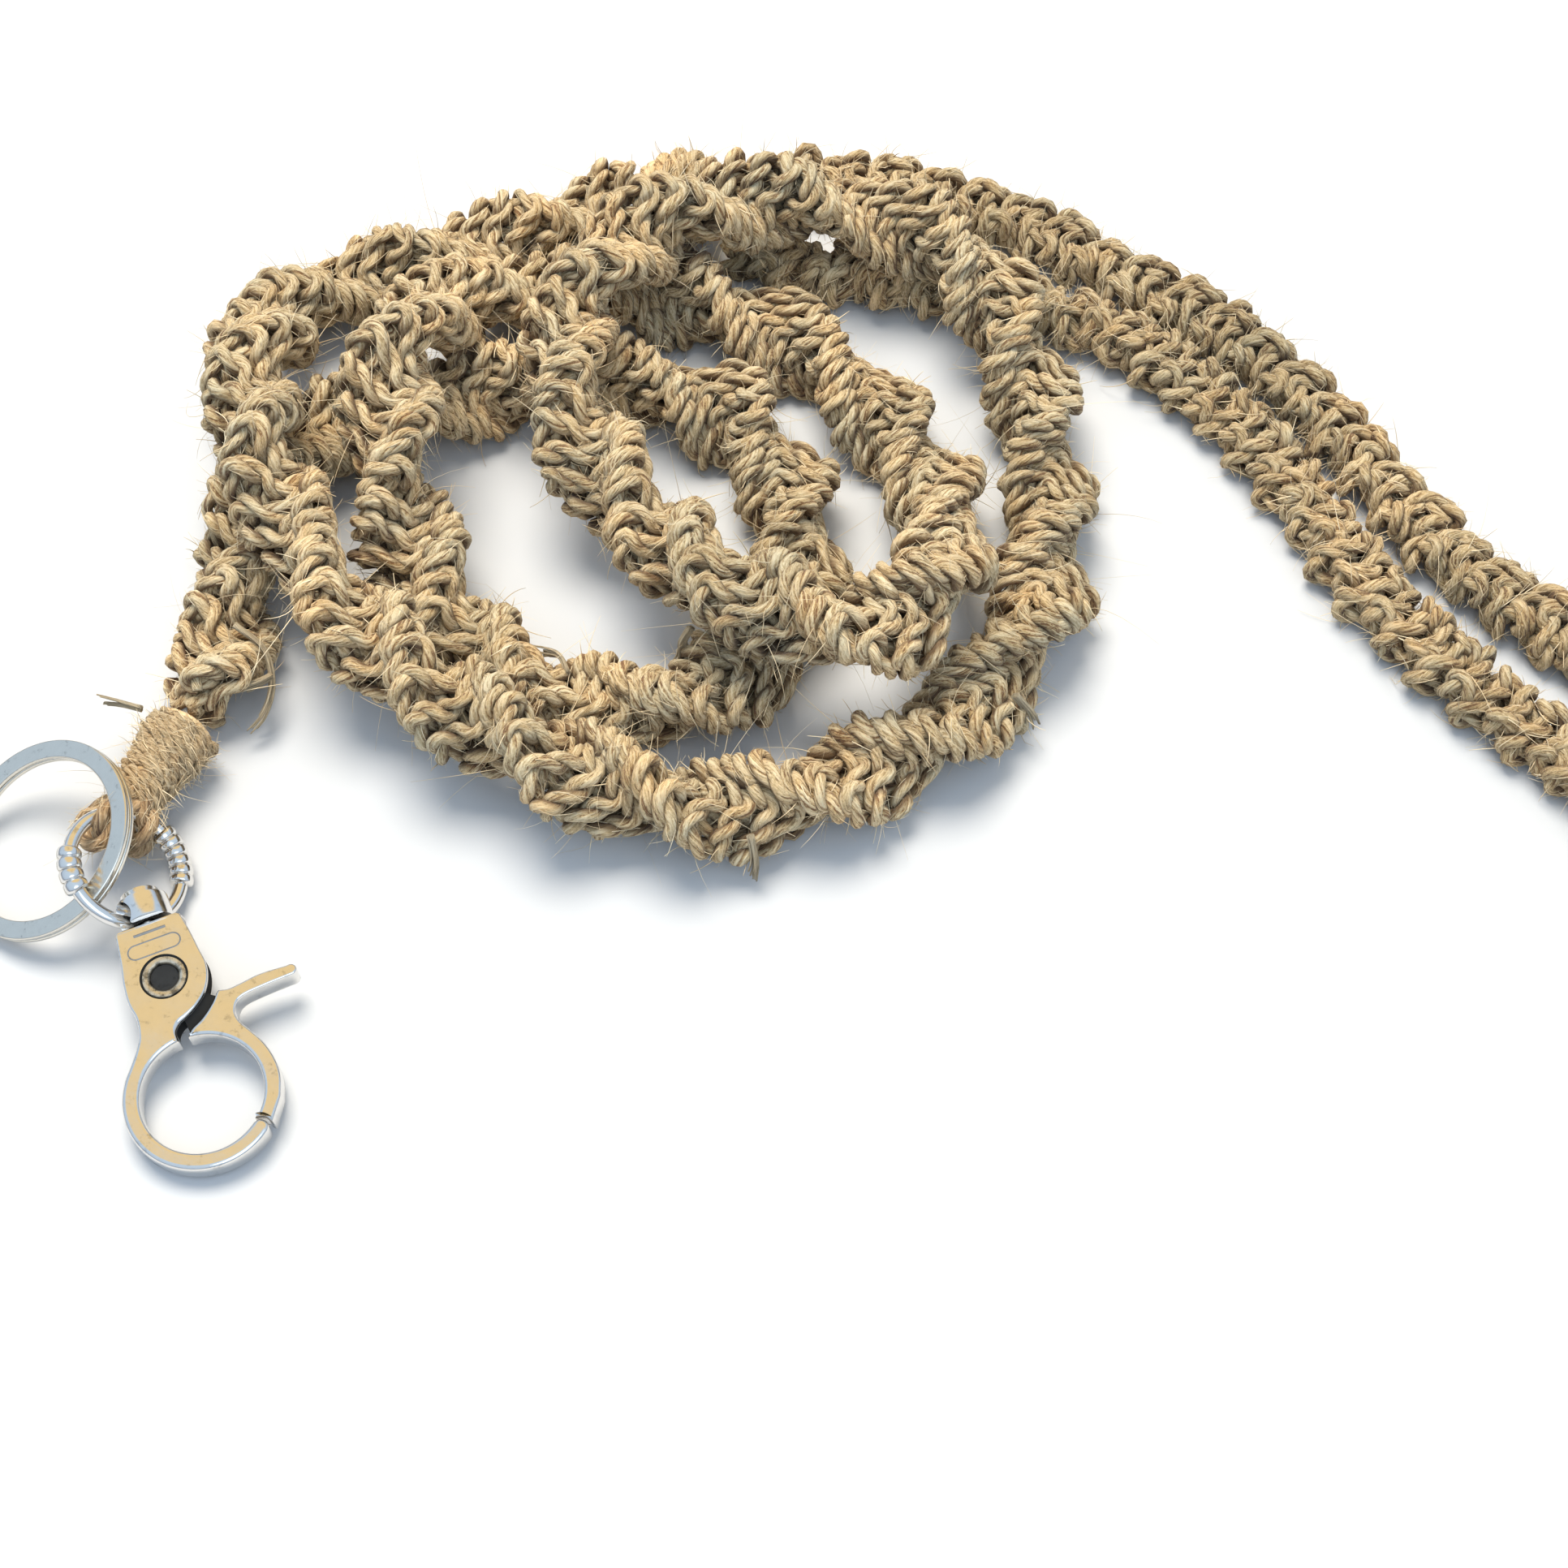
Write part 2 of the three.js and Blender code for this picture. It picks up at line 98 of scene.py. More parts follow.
# loose hairs, in kinds: how many, shortest, longest, how steeply they leave the twine, and radius
SPIRAL_HAIRS = ((16000, 0.002, 0.006, 0.12, 0.00007), (4200, 0.0015, 0.006, 0.6, 0.00004),
                (1100, 0.004, 0.014, 0.9, 0.00004))
SPIRAL_TAILS = (
    ((0.0666, 0.0395, 0.0105), (0.0655, 0.0387, 0.0085), (0.0654, 0.0386, 0.0060),
     (0.0644, 0.0376, 0.0040)),
    ((0.0742, 0.0115, 0.0070), (0.0747, 0.0095, 0.0040), (0.0741, 0.0085, 0.0012)),
    ((0.0515, 0.0343, 0.0080), (0.0504, 0.0365, 0.0085), (0.0489, 0.0374, 0.0080),
     (0.0469, 0.0384, 0.0065)),
    ((0.0100, 0.0400, 0.0105), (0.0135, 0.0380, 0.0080), (0.0145, 0.0345, 0.0055), (0.0136, 0.0309, 0.0040),
     (0.0109, 0.0285, 0.0020)),
    ((0.0145, 0.0350, 0.0065), (0.0124, 0.0331, 0.0072), (0.0100, 0.0325, 0.0075)),
    ((-0.0005, 0.0290, 0.0080), (-0.0040, 0.0303, 0.0075), (-0.0068, 0.0311, 0.0070)),
    ((0.1065, 0.0310, 0.0080), (0.1085, 0.0302, 0.0050), (0.1090, 0.0288, 0.0030)),
)
NECK_WIDTH, NECK_HEIGHT = 0.0095, 0.0033
NECK_TWINE, NECK_PITCH = 0.0028, 0.0034
NECK_SHAPE = (0.0020, 0.0035, 0.0019, 0.0026, 0.30, 0.18)
NECK_CORE = (-0.0009, 0.0009)
NECK_HAIRS = ((10000, 0.002, 0.006, 0.12, 0.00007), (2600, 0.0015, 0.005, 0.6, 0.00004),
              (600, 0.004, 0.012, 0.9, 0.00004))
NECK_ROUTE = [
    (0.0722, 0.1237), (0.0822, 0.1249), (0.0939, 0.1239), (0.1089, 0.1177), (0.1277, 0.1049),
    (0.1444, 0.0896), (0.1556, 0.0722), (0.1642, 0.0571), (0.1779, 0.0431), (0.1966, 0.0262),
    (0.2186, 0.0137), (0.2436, 0.0057),
    (0.2686, 0.0022), (0.2906, 0.0017), (0.3066, -0.0053), (0.3126, -0.0183), (0.3046, -0.0313),
    (0.2866, -0.0363), (0.2586, -0.0303), (0.2356, -0.0213), (0.2126, -0.0103), (0.1926, 0.0047),
    (0.1747, 0.0247), (0.1651, 0.0351), (0.1547, 0.0491), (0.1463, 0.0666), (0.1370, 0.0822),
    (0.1237, 0.0956), (0.1093, 0.1015), (0.0912, 0.1062), (0.0781, 0.1085), (0.0701, 0.1130),
]

KNOT_HAIRS = ((700, 0.002, 0.005, 0.12, 0.00007), (160, 0.002, 0.007, 0.7, 0.00004))
COLLAR_HAIRS = ((700, 0.002, 0.004, 0.10, 0.00006), (260, 0.002, 0.006, 0.7, 0.00003))
EYE_HAIRS = ((500, 0.002, 0.004, 0.12, 0.00006), (200, 0.002, 0.005, 0.7, 0.00003))
ROUTE_STEP = 0.0004  # spacing of the points worked out along a cord's route
TWINE_LAY = 2.7  # one turn of a twine's two plies, in twine thicknesses

# dark, middle and light tones of each jute, then the warm tone of its patches, and its roughness
JUTES = {
    "jute_twine": ((0.24, 0.125, 0.052), (0.63, 0.48, 0.262), (0.95, 0.82, 0.57), (1.06, 0.92, 0.76), 0.82),
    "jute_whipping": ((0.26, 0.16, 0.08), (0.60, 0.46, 0.26), (0.84, 0.71, 0.49), (1.05, 0.92, 0.78), 0.82),
    "jute_eye": ((0.17, 0.10, 0.05), (0.46, 0.31, 0.165), (0.74, 0.56, 0.35), (1.05, 0.90, 0.74), 0.82),
    # the neck's jute is a darker copy of the same twine: painted shade, to tone down the stronger light on
    # the flat neck
    "jute_neck_shaded": ((0.18, 0.095, 0.04), (0.51, 0.375, 0.19), (0.84, 0.70, 0.46), (1.05, 0.92, 0.78), 0.82),
    "jute_hair": ((0.48, 0.36, 0.21), (0.70, 0.56, 0.36), (0.90, 0.78, 0.56), (1.0, 0.96, 0.90), 0.6),
}

CAMERA_TARGET = Vector((0.0782, 0.0232, 0.0))
CAMERA_DISTANCE, CAMERA_ELEVATION, CAMERA_FIELD = 0.308, 57.0, 35.0
WARM_PANEL = (0.06, 0.56, 0.83)  # direction of the warm panel, which the flat metal faces reflect


# ---- camera, lights and floor ----
def make_camera():
    data = bpy.data.cameras.new("camera")
    data.sensor_width = 36
    data.lens = 18 / math.tan(math.radians(CAMERA_FIELD / 2))
    data.clip_start = 0.01
    camera = bpy.data.objects.new("camera", data)
    bpy.context.scene.collection.objects.link(camera)
    up = math.radians(CAMERA_ELEVATION)
    camera.location = CAMERA_TARGET + Vector((0, -math.cos(up), math.sin(up))) * CAMERA_DISTANCE
    camera.rotation_euler = (math.radians(90) - up, 0, 0)
    bpy.context.scene.camera = camera


def make_light(name, at, towards, size, power, color, mirrored=True):
    data = bpy.data.lights.new(name, "AREA")
    data.shape = "DISK"
    data.size = size
    data.energy = power
    data.color = color
    light = bpy.data.objects.new(name, data)
    light.visible_glossy = mirrored
    light.location = at
    light.rotation_euler = (Vector(towards) - Vector(at)).to_track_quat("-Z", "Y").to_euler()
    bpy.context.scene.collection.objects.link(light)


def make_world():
    """A pale studio: cool overhead, dim towards the horizon, with one warm panel behind the object."""
    world = bpy.data.worlds.new("studio")
    bpy.context.scene.world = world
    world.use_nodes = True
    nodes, links = world.node_tree.nodes, world.node_tree.links
    back = nodes["Background"]
    back.inputs["Strength"].default_value = 1.0
    where = nodes.new("ShaderNodeTexCoord")
    split = nodes.new("ShaderNodeSeparateXYZ")
    links.new(where.outputs["Generated"], split.inputs[0])
    sky = ramp(nodes, links, split.outputs["Z"], [(0.0, (0.26, 0.29, 0.34)), (0.16, (0.34, 0.40, 0.50)),
                                                   (0.34, (0.56, 0.70, 0.88)), (1.0, (0.66, 0.82, 1.0))])
    aim = nodes.new("ShaderNodeVectorMath")
    aim.operation = "DOT_PRODUCT"
    links.new(where.outputs["Generated"], aim.inputs[0])
    aim.inputs[1].default_value = WARM_PANEL
    edge = ramp(nodes, links, aim.outputs["Value"], [(0.80, (0, 0, 0)), (0.88, (1, 1, 1))])
    lit = mix_colors(nodes, links, edge, sky, (1.0, 0.76, 0.40, 1))
    links.new(lit, back.inputs["Color"])


def make_stage():
    bpy.ops.mesh.primitive_plane_add(size=4, location=(0.1, 0.1, FLOOR_Z - 0.0002))
    floor = bpy.context.object
    floor.name = "floor"
    material, shader, _, _ = new_material("floor_white")
    set_inputs(shader, {"Base Color": (0.575, 0.585, 0.60, 1), "Roughness": 0.7})
    floor.data.materials.append(material)
    heap = (0.08, 0.03, 0)
    make_light("key", (-0.06, 0.34, 0.85), heap, 0.55, 11.2, (1.0, 0.95, 0.865), mirrored=False)
    make_light("fill", (0.32, -0.50, 0.68), heap, 0.7, 1.4, (0.86, 0.93, 1.0))
    bpy.context.scene.view_settings.view_transform = "Standard"


# ---- materials ----
def new_material(name):
    material = bpy.data.materials.new(name)
    material.use_nodes = True
    tree = material.node_tree
    return material, tree.nodes["Principled BSDF"], tree.nodes, tree.links


def set_inputs(node, values):
    for name, value in values.items():
        node.inputs[name].default_value = value


def mix_colors(nodes, links, factor, low, high, blend="MIX"):
    """Two colours mixed, or multiplied; each of them and the factor is a value or a node's output."""
    node = nodes.new("ShaderNodeMix")
    node.data_type = "RGBA"
    node.blend_type = blend
    for socket, value in ((0, factor), (6, low), (7, high)):
        if isinstance(value, bpy.types.NodeSocket):
            links.new(value, node.inputs[socket])
        else:
            node.inputs[socket].default_value = value
    return node.outputs[2]


def noise(nodes, links, vector, scale, detail, rough=0.55):
    node = nodes.new("ShaderNodeTexNoise")
    set_inputs(node, {"Scale": scale, "Detail": detail, "Roughness": rough})
    links.new(vector, node.inputs["Vector"])
    return node.outputs["Fac"]


def ramp(nodes, links, value, stops):
    node = nodes.new("ShaderNodeValToRGB")
    elements = node.color_ramp.elements
    while len(elements) < len(stops):
        elements.new(0.5)
    for element, (position, color) in zip(elements, stops):
        element.position = position
        element.color = (*color, 1)
    links.new(value, node.inputs[0])
    return node.outputs["Color"]


def attribute(nodes, name):
    node = nodes.new("ShaderNodeAttribute")
    node.attribute_name = name
    return node


def add_relief(nodes, links, shader, height, strength, distance):
    bump = nodes.new("ShaderNodeBump")
    set_inputs(bump, {"Strength": strength, "Distance": distance})
    links.new(height, bump.inputs["Height"])
    links.new(bump.outputs["Normal"], shader.inputs["Normal"])


def jute_material(name, dark, mid, light, warm, roughness):
    """Twisted plant fibre: streaks along the fibres, patches of tone, painted shade in the crevices and
    fine relief.
    """
    material, shader, nodes, links = new_material(name)
    place = nodes.new("ShaderNodeTexCoord").outputs["Object"]
    streak = noise(nodes, links, attribute(nodes, "fibre").outputs["Vector"], 2.3, 5.0, 0.68)
    patch = noise(nodes, links, place, 170, 3.0)
    broad = noise(nodes, links, place, 38, 2.0)
    tone = ramp(nodes, links, streak, [(0.38, dark), (0.47, mid), (0.60, light)])
    warmth = ramp(nodes, links, patch, [(0.35, (1, 1, 1)), (0.68, warm)])
    shade = ramp(nodes, links, broad, [(0.32, (0.78, 0.80, 0.80)), (0.62, (1.06, 1.04, 1.0))])
    # painted shade: the jute is darkened where its surface faces in towards the cord's middle, and made a
    # little lighter where it faces out
    crevice_shade = attribute(nodes, "crevice_shade").outputs["Fac"]
    painted_pit_shade = ramp(nodes, links, crevice_shade, [(0.24, (1.08, 1.08, 1.08)), (0.60, (0.34, 0.27, 0.21))])
    mixed = tone
    for other in (warmth, shade, painted_pit_shade):
        mixed = mix_colors(nodes, links, 1, mixed, other, "MULTIPLY")
    links.new(mixed, shader.inputs["Base Color"])
    set_inputs(shader, {"Roughness": roughness, "Specular IOR Level": 0.25, "Sheen Weight": 0.15,
                        "Sheen Roughness": 0.5})
    add_relief(nodes, links, shader, streak, 1.0, 0.0009)
    return material


def metal_material(name, color, rough_low, rough_high, scratch, dirt=0.35, worn=0.28):
    """Plated metal: slight haze, fine scratches, darker specks in the worn spots, and near-black painted
    shade from an attribute.
    """
    material, shader, nodes, links = new_material(name)
    place = nodes.new("ShaderNodeTexCoord").outputs["Object"]
    haze = noise(nodes, links, place, 260, 5.0)
    fine = noise(nodes, links, place, 2400, 3.0)
    wear = noise(nodes, links, place, 700, 6.0, 0.7)
    rough = nodes.new("ShaderNodeMapRange")
    set_inputs(rough, {"From Min": 0.35, "From Max": 0.7, "To Min": rough_low, "To Max": rough_high})
    links.new(haze, rough.inputs["Value"])
    matt = nodes.new("ShaderNodeMath")
    matt.operation = "ADD"
    matt.use_clamp = True
    links.new(rough.outputs["Result"], matt.inputs[0])
    links.new(matt.outputs["Value"], shader.inputs["Roughness"])
    dark = tuple(c * (1 - dirt) for c in color)
    bright = tuple(min(1, c * 1.05) for c in color)
    tint = ramp(nodes, links, wear, [(worn, dark), (worn + 0.14, color), (0.8, bright)])
    # painted shade: where the attribute is set, the colour goes towards near-black and the surface gets
    # rougher
    painted_shade = attribute(nodes, "painted_shade").outputs["Fac"]
    links.new(painted_shade, matt.inputs[1])
    with_painted_shade = mix_colors(nodes, links, painted_shade, tint, (0.015, 0.013, 0.011, 1))
    links.new(with_painted_shade, shader.inputs["Base Color"])
    shader.inputs["Metallic"].default_value = 1
    add_relief(nodes, links, shader, fine, scratch, 0.00003)
    return material


# ---- curves and tubes ----
def spline(points, per=24):
    """Centripetal Catmull-Rom through the points, as the CAD's own curve."""
    points = np.array(points, float)
    ends = np.vstack([2 * points[0] - points[1], points, 2 * points[-1] - points[-2]])
    out = []
    for i in range(1, len(ends) - 2):
        p0, p1, p2, p3 = ends[i - 1 : i + 3]
        spans = (p1 - p0, p2 - p1, p3 - p2)
        d0, d1, d2 = (math.sqrt(max(np.linalg.norm(span), 1e-12)) for span in spans)
        m1 = ((p1 - p0) / d0 - (p2 - p0) / (d0 + d1) + (p2 - p1) / d1) * d1
        m2 = ((p2 - p1) / d1 - (p3 - p1) / (d1 + d2) + (p3 - p2) / d2) * d1
        t = (np.arange(per) / per)[:, None]
        out.append((2 * t**3 - 3 * t**2 + 1) * p1 + (t**3 - 2 * t**2 + t) * m1
                   + (3 * t**2 - 2 * t**3) * p2 + (t**3 - t**2) * m2)
    out.append(ends[-2][None])
    return np.vstack(out)


def lengths(line):
    return np.concatenate([[0], np.cumsum(np.linalg.norm(np.diff(line, axis=0), axis=1))])


def resample(line, step):
    along = lengths(line)
    at = np.linspace(0, along[-1], max(3, round(along[-1] / step) + 1))
    return np.stack([np.interp(at, along, line[:, k]) for k in range(3)], axis=1)


def unit(v):
    return v / np.maximum(np.linalg.norm(v, axis=-1, keepdims=True), 1e-12)


def frames(line):
    """Tangent, and two sides that turn as little as they can, at each point of a line."""
    tangent = unit(np.gradient(line, axis=0))
    side = np.zeros_like(line)
    first = UP
    if abs(first @ tangent[0]) > 0.9:
        first = np.array((1.0, 0.0, 0.0))
    side[0] = unit(first - (first @ tangent[0]) * tangent[0])
    for i in range(1, len(line)):
        v = side[i - 1] - (side[i - 1] @ tangent[i]) * tangent[i]
        side[i] = v / math.sqrt(max(v @ v, 1e-18))
    return tangent, side, np.cross(tangent, side)


class Tubes:
    """Gathers tubes into one mesh, with the fibre direction kept at each point for the material."""

    def __init__(self):
        self.points, self.quads, self.ends, self.fibre, self.count = [], [], [], [], 0
        self.normals, self.anchors = [], []

    def add(self, line, radius, sides=8, lay=0.0, phase=0.0, keep=False, seed=0.0):
        tangent, side, other = frames(line)
        n = len(line)
        along = lengths(line)
        around = np.arange(sides) / sides * TURN
        radius = np.broadcast_to(np.asarray(radius, float), n)
        cosine, sine = np.cos(around)[None, :, None], np.sin(around)[None, :, None]
        out = cosine * side[:, None] + sine * other[:, None]
        points = line[:, None] + out * radius[:, None, None]
        twist = along / lay * TURN if lay else np.zeros(n)
        turn = around[None, :] - twist[:, None] + phase
        stretch = np.repeat(along[:, None] * FIBRE_STRETCH + seed, sides, axis=1)
        fibre = np.stack([np.cos(turn), np.sin(turn), stretch], 2)
        index = self.count + np.arange(n * sides).reshape(n, sides)
        nxt = np.roll(index, -1, axis=1)
        quads = np.stack([index[:-1], nxt[:-1], nxt[1:], index[1:]], 2).reshape(-1, 4)
        self.points.append(points.reshape(-1, 3))
        self.normals.append(out.reshape(-1, 3))
        self.fibre.append(fibre.reshape(-1, 3))
        self.quads.append(quads)
        self.ends += [index[0][::-1].tolist(), index[-1].tolist()]
        self.count += n * sides
        if keep:
            run = np.repeat(tangent, sides, axis=0)
            self.anchors.append((points.reshape(-1, 3), out.reshape(-1, 3), run))

    def crevice_shade_mask(self, route):
        """How far each point of the surface faces in towards the cord's own middle: 0 out, 1 in; the mask
        of the jute's painted crevice shade.
        """
        middle = route[::4]
        tree = KDTree(len(middle))
        for k, at in enumerate(middle):
            tree.insert(at, k)
        tree.balance()
        points = np.vstack(self.points)
        nearest = middle[[tree.find(at)[1] for at in points]]
        return 0.5 - 0.5 * np.sum(unit(points - nearest) * np.vstack(self.normals), axis=1)

    def build(self, name, material=None, route=None):
        mesh = bpy.data.meshes.new(name)
        points = np.vstack(self.points)
        faces = np.vstack(self.quads)
        loops = np.concatenate([faces.ravel(), [i for e in self.ends for i in e]])
        sizes = np.concatenate([np.full(len(faces), 4), [len(e) for e in self.ends]])
        mesh.vertices.add(len(points))
        mesh.vertices.foreach_set("co", points.ravel())
        mesh.loops.add(len(loops))
        mesh.loops.foreach_set("vertex_index", loops.astype(np.int32))
        mesh.polygons.add(len(sizes))
        mesh.polygons.foreach_set("loop_start", (np.cumsum(sizes) - sizes).astype(np.int32))
        mesh.update(calc_edges=True)
        mesh.validate()
        store = mesh.attributes.new("fibre", "FLOAT_VECTOR", "POINT")
        store.data.foreach_set("vector", np.vstack(self.fibre).ravel())
        # mask for the painted shade in the cord's crevices
        if route is not None:
            store = mesh.attributes.new("crevice_shade", "FLOAT", "POINT")
            store.data.foreach_set("value", self.crevice_shade_mask(route))
        mesh.shade_smooth()
        if material:
            mesh.materials.append(material)
        piece = bpy.data.objects.new(name, mesh)
        bpy.context.scene.collection.objects.link(piece)
        return piece


def slow_noise(along, spacing, spread, rng, middle=0.0):
    """Values that wander smoothly along a line."""
    count = max(4, int(along[-1] / spacing) + 2)
    return np.interp(along, np.linspace(0, along[-1], count), rng.normal(middle, spread, count))


def add_twine(tubes, line, thick, lay, rng, sides=8, step=0.0006, keep=True):
    """A two-ply twine along a line: each ply is a tube that winds round the line, a little unevenly."""
    clearance, ply_offset, ply_radius, fibre_lay = 0.62, 0.25, 0.285, 1.2
    line = resample(line, step)
    line[:, 2] = np.maximum(line[:, 2], FLOOR_Z + thick * clearance)
    _, side, other = frames(line)
    along = lengths(line)
    start = rng.random() * TURN
    wander = slow_noise(along, 0.005, 0.55, rng)
    for ply in (0, math.pi):
        angle = start + ply + along / lay * TURN + wander
        offset = thick * ply_offset * slow_noise(along, 0.004, 0.12, rng, 1)
        centre = line + offset[:, None] * (np.cos(angle)[:, None] * side + np.sin(angle)[:, None] * other)
        swell = slow_noise(along, 0.0022, 0.11, rng, 1)
        tubes.add(centre, thick * ply_radius * swell, sides, lay=-lay * fibre_lay, phase=angle[0],
                  keep=keep, seed=rng.random() * 50)


# ---- knotted cords ----
def knot_points(knots, pitch, shape, rng):
    """The two working cords of a row of half knots, as points across, out of the face and along.

    knots says for each half knot which side its front cord starts from: -1 left, 1 right. Each cord
    starts beside the core, goes out round the end of the other cord, crosses the core and leaves
    beside it, under the other cord's loop. The knots are pulled more or less tight along the row, and
    every point is shaken a little.
    """
    tightest, loosest, shake = 0.78, 1.18, 0.00024
    beside, outer, front, over, lean, bias = shape
    paths = {-1: [], 1: []}
    owner = {-1: -1, 1: 1}
    pull = slow_noise(np.arange(len(knots)) * pitch + 1e-9, 0.006, 0.11, rng, 1)
    loose = np.clip(pull, tightest, loosest)
    for k, first in enumerate(knots):
        for side, face in ((first, 1), (-first, -1)):
            wide = loose[k] * outer * (1 + bias * face)
            points = np.array([
                (side * beside, -face * 0.10 * front, 0.00),
                (side * (beside * 0.8 + wide * 0.15), -face * 0.85 * over, 0.34),
                (side * (beside * 0.5 + wide * 0.5), -face * over, 0.66),
                (side * wide, -face * 0.40 * over, 0.88),
                (side * (wide - 0.0007), face * 0.50 * front, 0.82),
                (side * beside * 0.85, face * 0.98 * front, 0.68),
                (0.0, face * 1.03 * front, 0.60),
                (-side * beside * 0.62, face * 0.93 * front, 0.62),
                (-side * beside * 0.97, face * 0.50 * front, 0.80),
            ])
            points[:, 2] = (points[:, 2] + k + lean * np.abs(points[:, 0]) / outer) * pitch
            paths[owner[side]] += list(points + rng.normal(0, shake, points.shape))
        owner = {-1: owner[1], 1: owner[-1]}
    return paths


def lay_on_route(local, route, sides, turn):
    """Points in the cord's own frame, moved onto its route; turn gives the band's angle along it."""
    tangent, side, other = sides
    along = lengths(route)
    z = np.clip(local[:, 2], 0, along[-1])

    def pick(field):
        return np.stack([np.interp(z, along, field[:, k]) for k in range(3)], axis=1)

    centre, across, out = pick(route), unit(pick(side)), unit(pick(other))
    angle = np.interp(z, along, turn)
    x = local[:, :1] * np.cos(angle)[:, None] - local[:, 1:2] * np.sin(angle)[:, None]
    y = local[:, :1] * np.sin(angle)[:, None] + local[:, 1:2] * np.cos(angle)[:, None]
    return centre + x * across + y * out


def sinnet(tubes, route, sides, twine, pitch, knots, shape, turn, core, rng):
    """A row of half knots tied with two working cords over the core, along a route."""
    paths = knot_points(knots, pitch, shape, rng)
    for path in paths.values():
        local = spline(np.array(path), 5)
        add_twine(tubes, lay_on_route(local, route, sides, turn), twine, twine * TWINE_LAY, rng)
    total = lengths(route)[-1]
    z = np.linspace(0, total, int(total / 0.003))
    for x in core:
        local = np.stack([np.full_like(z, x), np.zeros_like(z), z], 1)
        add_twine(tubes, lay_on_route(local, route, sides, turn), twine * 0.95, twine * 2.3, rng, sides=6,
                  step=0.0015, keep=False)


def fibre_cloud(anchors, count, shortest, longest, lift, thin, rng):
    """Bent three-sided hairs rooted on the twine: lift says how steeply they leave its surface."""
    points, normals, along = (np.vstack([a[k] for a in anchors]) for k in range(3))
    pick = rng.integers(0, len(points), count)
    root, normal, run = points[pick], normals[pick], along[pick]
    size = (shortest + (longest - shortest) * rng.random(count) ** 3)[:, None]
    rise = (lift * (0.5 + rng.random(count)))[:, None]
    way = np.sign(rng.normal(0, 1, (count, 1)))
    heading = unit(normal * rise + run * way + rng.normal(0, 0.12 + 0.35 * lift, (count, 3)))
    bend = unit(np.cross(heading, rng.normal(0, 1, (count, 3))))
    bend *= rng.normal(0, 0.4 + 0.9 * lift, (count, 1))
    bend -= normal * (1 - min(lift, 1)) * 0.5
    steps, sides = 6, 3
    t = np.linspace(0, 1, steps)[None, :, None]
    line = (root - normal * thin)[:, None] + (heading * size)[:, None] * t
    line = line + (bend * size * 0.4)[:, None] * t**2
    line[..., 2] = np.clip(line[..., 2], FLOOR_Z + 0.00015, HAIR_TOP)
    tangent = unit(np.gradient(line, axis=1))
    side = unit(np.cross(tangent, unit(rng.normal(0, 1, (count, 1, 3)))))
    other = np.cross(tangent, side)
    radius = (thin * (0.6 + 0.9 * rng.random(count)))[:, None] * np.linspace(1, 0.3, steps)[None]
    around = np.arange(sides) / sides * TURN
    ring = side[:, :, None] * np.cos(around)[None, None, :, None]
    ring = ring + other[:, :, None] * np.sin(around)[None, None, :, None]
    cloud = line[:, :, None] + ring * radius[:, :, None, None]
    tone = np.repeat(rng.random(count) * 50, steps * sides)
    return cloud, tone


def stray_fibres(name, anchors, kinds, material, seed, tails=()):
    """Loose and half-loose hairs in one mesh, with the frayed ends of the twine."""
    rng = np.random.default_rng(seed)
    tubes = Tubes()
    for tail in tails:
        add_tail(tubes, tail, rng)
    for kind in kinds:
        cloud, tone = fibre_cloud(anchors, *kind, rng)
        count, steps, sides, _ = cloud.shape
        index = tubes.count + np.arange(count * steps * sides).reshape(count, steps, sides)
        nxt = np.roll(index, -1, axis=2)
        tubes.points.append(cloud.reshape(-1, 3))
        corners = [index[:, :-1], nxt[:, :-1], nxt[:, 1:], index[:, 1:]]
        tubes.quads.append(np.stack(corners, 3).reshape(-1, 4))
        tubes.ends += index[:, 0, ::-1].tolist() + index[:, -1].tolist()
        tubes.fibre.append(np.stack([np.ones_like(tone), np.zeros_like(tone), tone], 1))
        tubes.count += count * steps * sides
    return tubes.build(name, material)


def add_tail(tubes, points, rng):
    """The frayed end of a twine: a flat bundle of fibres that spreads towards its tip."""
    wide, strands, radius = 0.0006, 14, 0.00026
    line = resample(spline(points, 8), 0.0006)
    _, side, other = frames(line)
    t = np.linspace(0, 1, len(line))[:, None]
    for _ in range(strands):
        a, b = rng.normal(0, wide, 2)
        drift = side * a * (0.35 + 0.9 * t**2) + other * b * (0.2 + 0.5 * t**2)
        reach = max(6, int(len(line) * (0.65 + 0.35 * rng.random())))
        strand = (line + drift)[:reach]
        strand[:, 2] = np.maximum(strand[:, 2], FLOOR_Z + 0.0003)
        tubes.add(strand, radius * np.linspace(1, 0.4, reach), 5, lay=0.02, seed=rng.random() * 50)


def ride_strap(piece):
    """Attaches a piece to the strap."""
    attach(piece, "strap")
    return piece


def make_spiral(material, hairs):
    """The long stretch of half knots that all start from the same side, so that the band twists."""
    rng = np.random.default_rng(SEED)
    route = resample(spline(SPIRAL_ROUTE), ROUTE_STEP)
    along = lengths(route)
    knots = [1] * int(along[-1] / SPIRAL_PITCH)
    turn = along / SPIRAL_TURN * TURN + slow_noise(along, 0.02, 0.35, rng)
    tubes = Tubes()
    sinnet(tubes, route, frames(route), SPIRAL_TWINE, SPIRAL_PITCH, knots, SPIRAL_SHAPE, turn, SPIRAL_CORE,
           rng)
    piece = ride_strap(tubes.build("spiral_sinnet_cord", material, route))
    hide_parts("spiral_sinnet")
    fluff = ride_strap(stray_fibres("spiral_sinnet_fibres", tubes.anchors, SPIRAL_HAIRS, hairs, SEED + 1,
                                    SPIRAL_TAILS))
    [tuple(p) for p in resample(route, 0.002)]


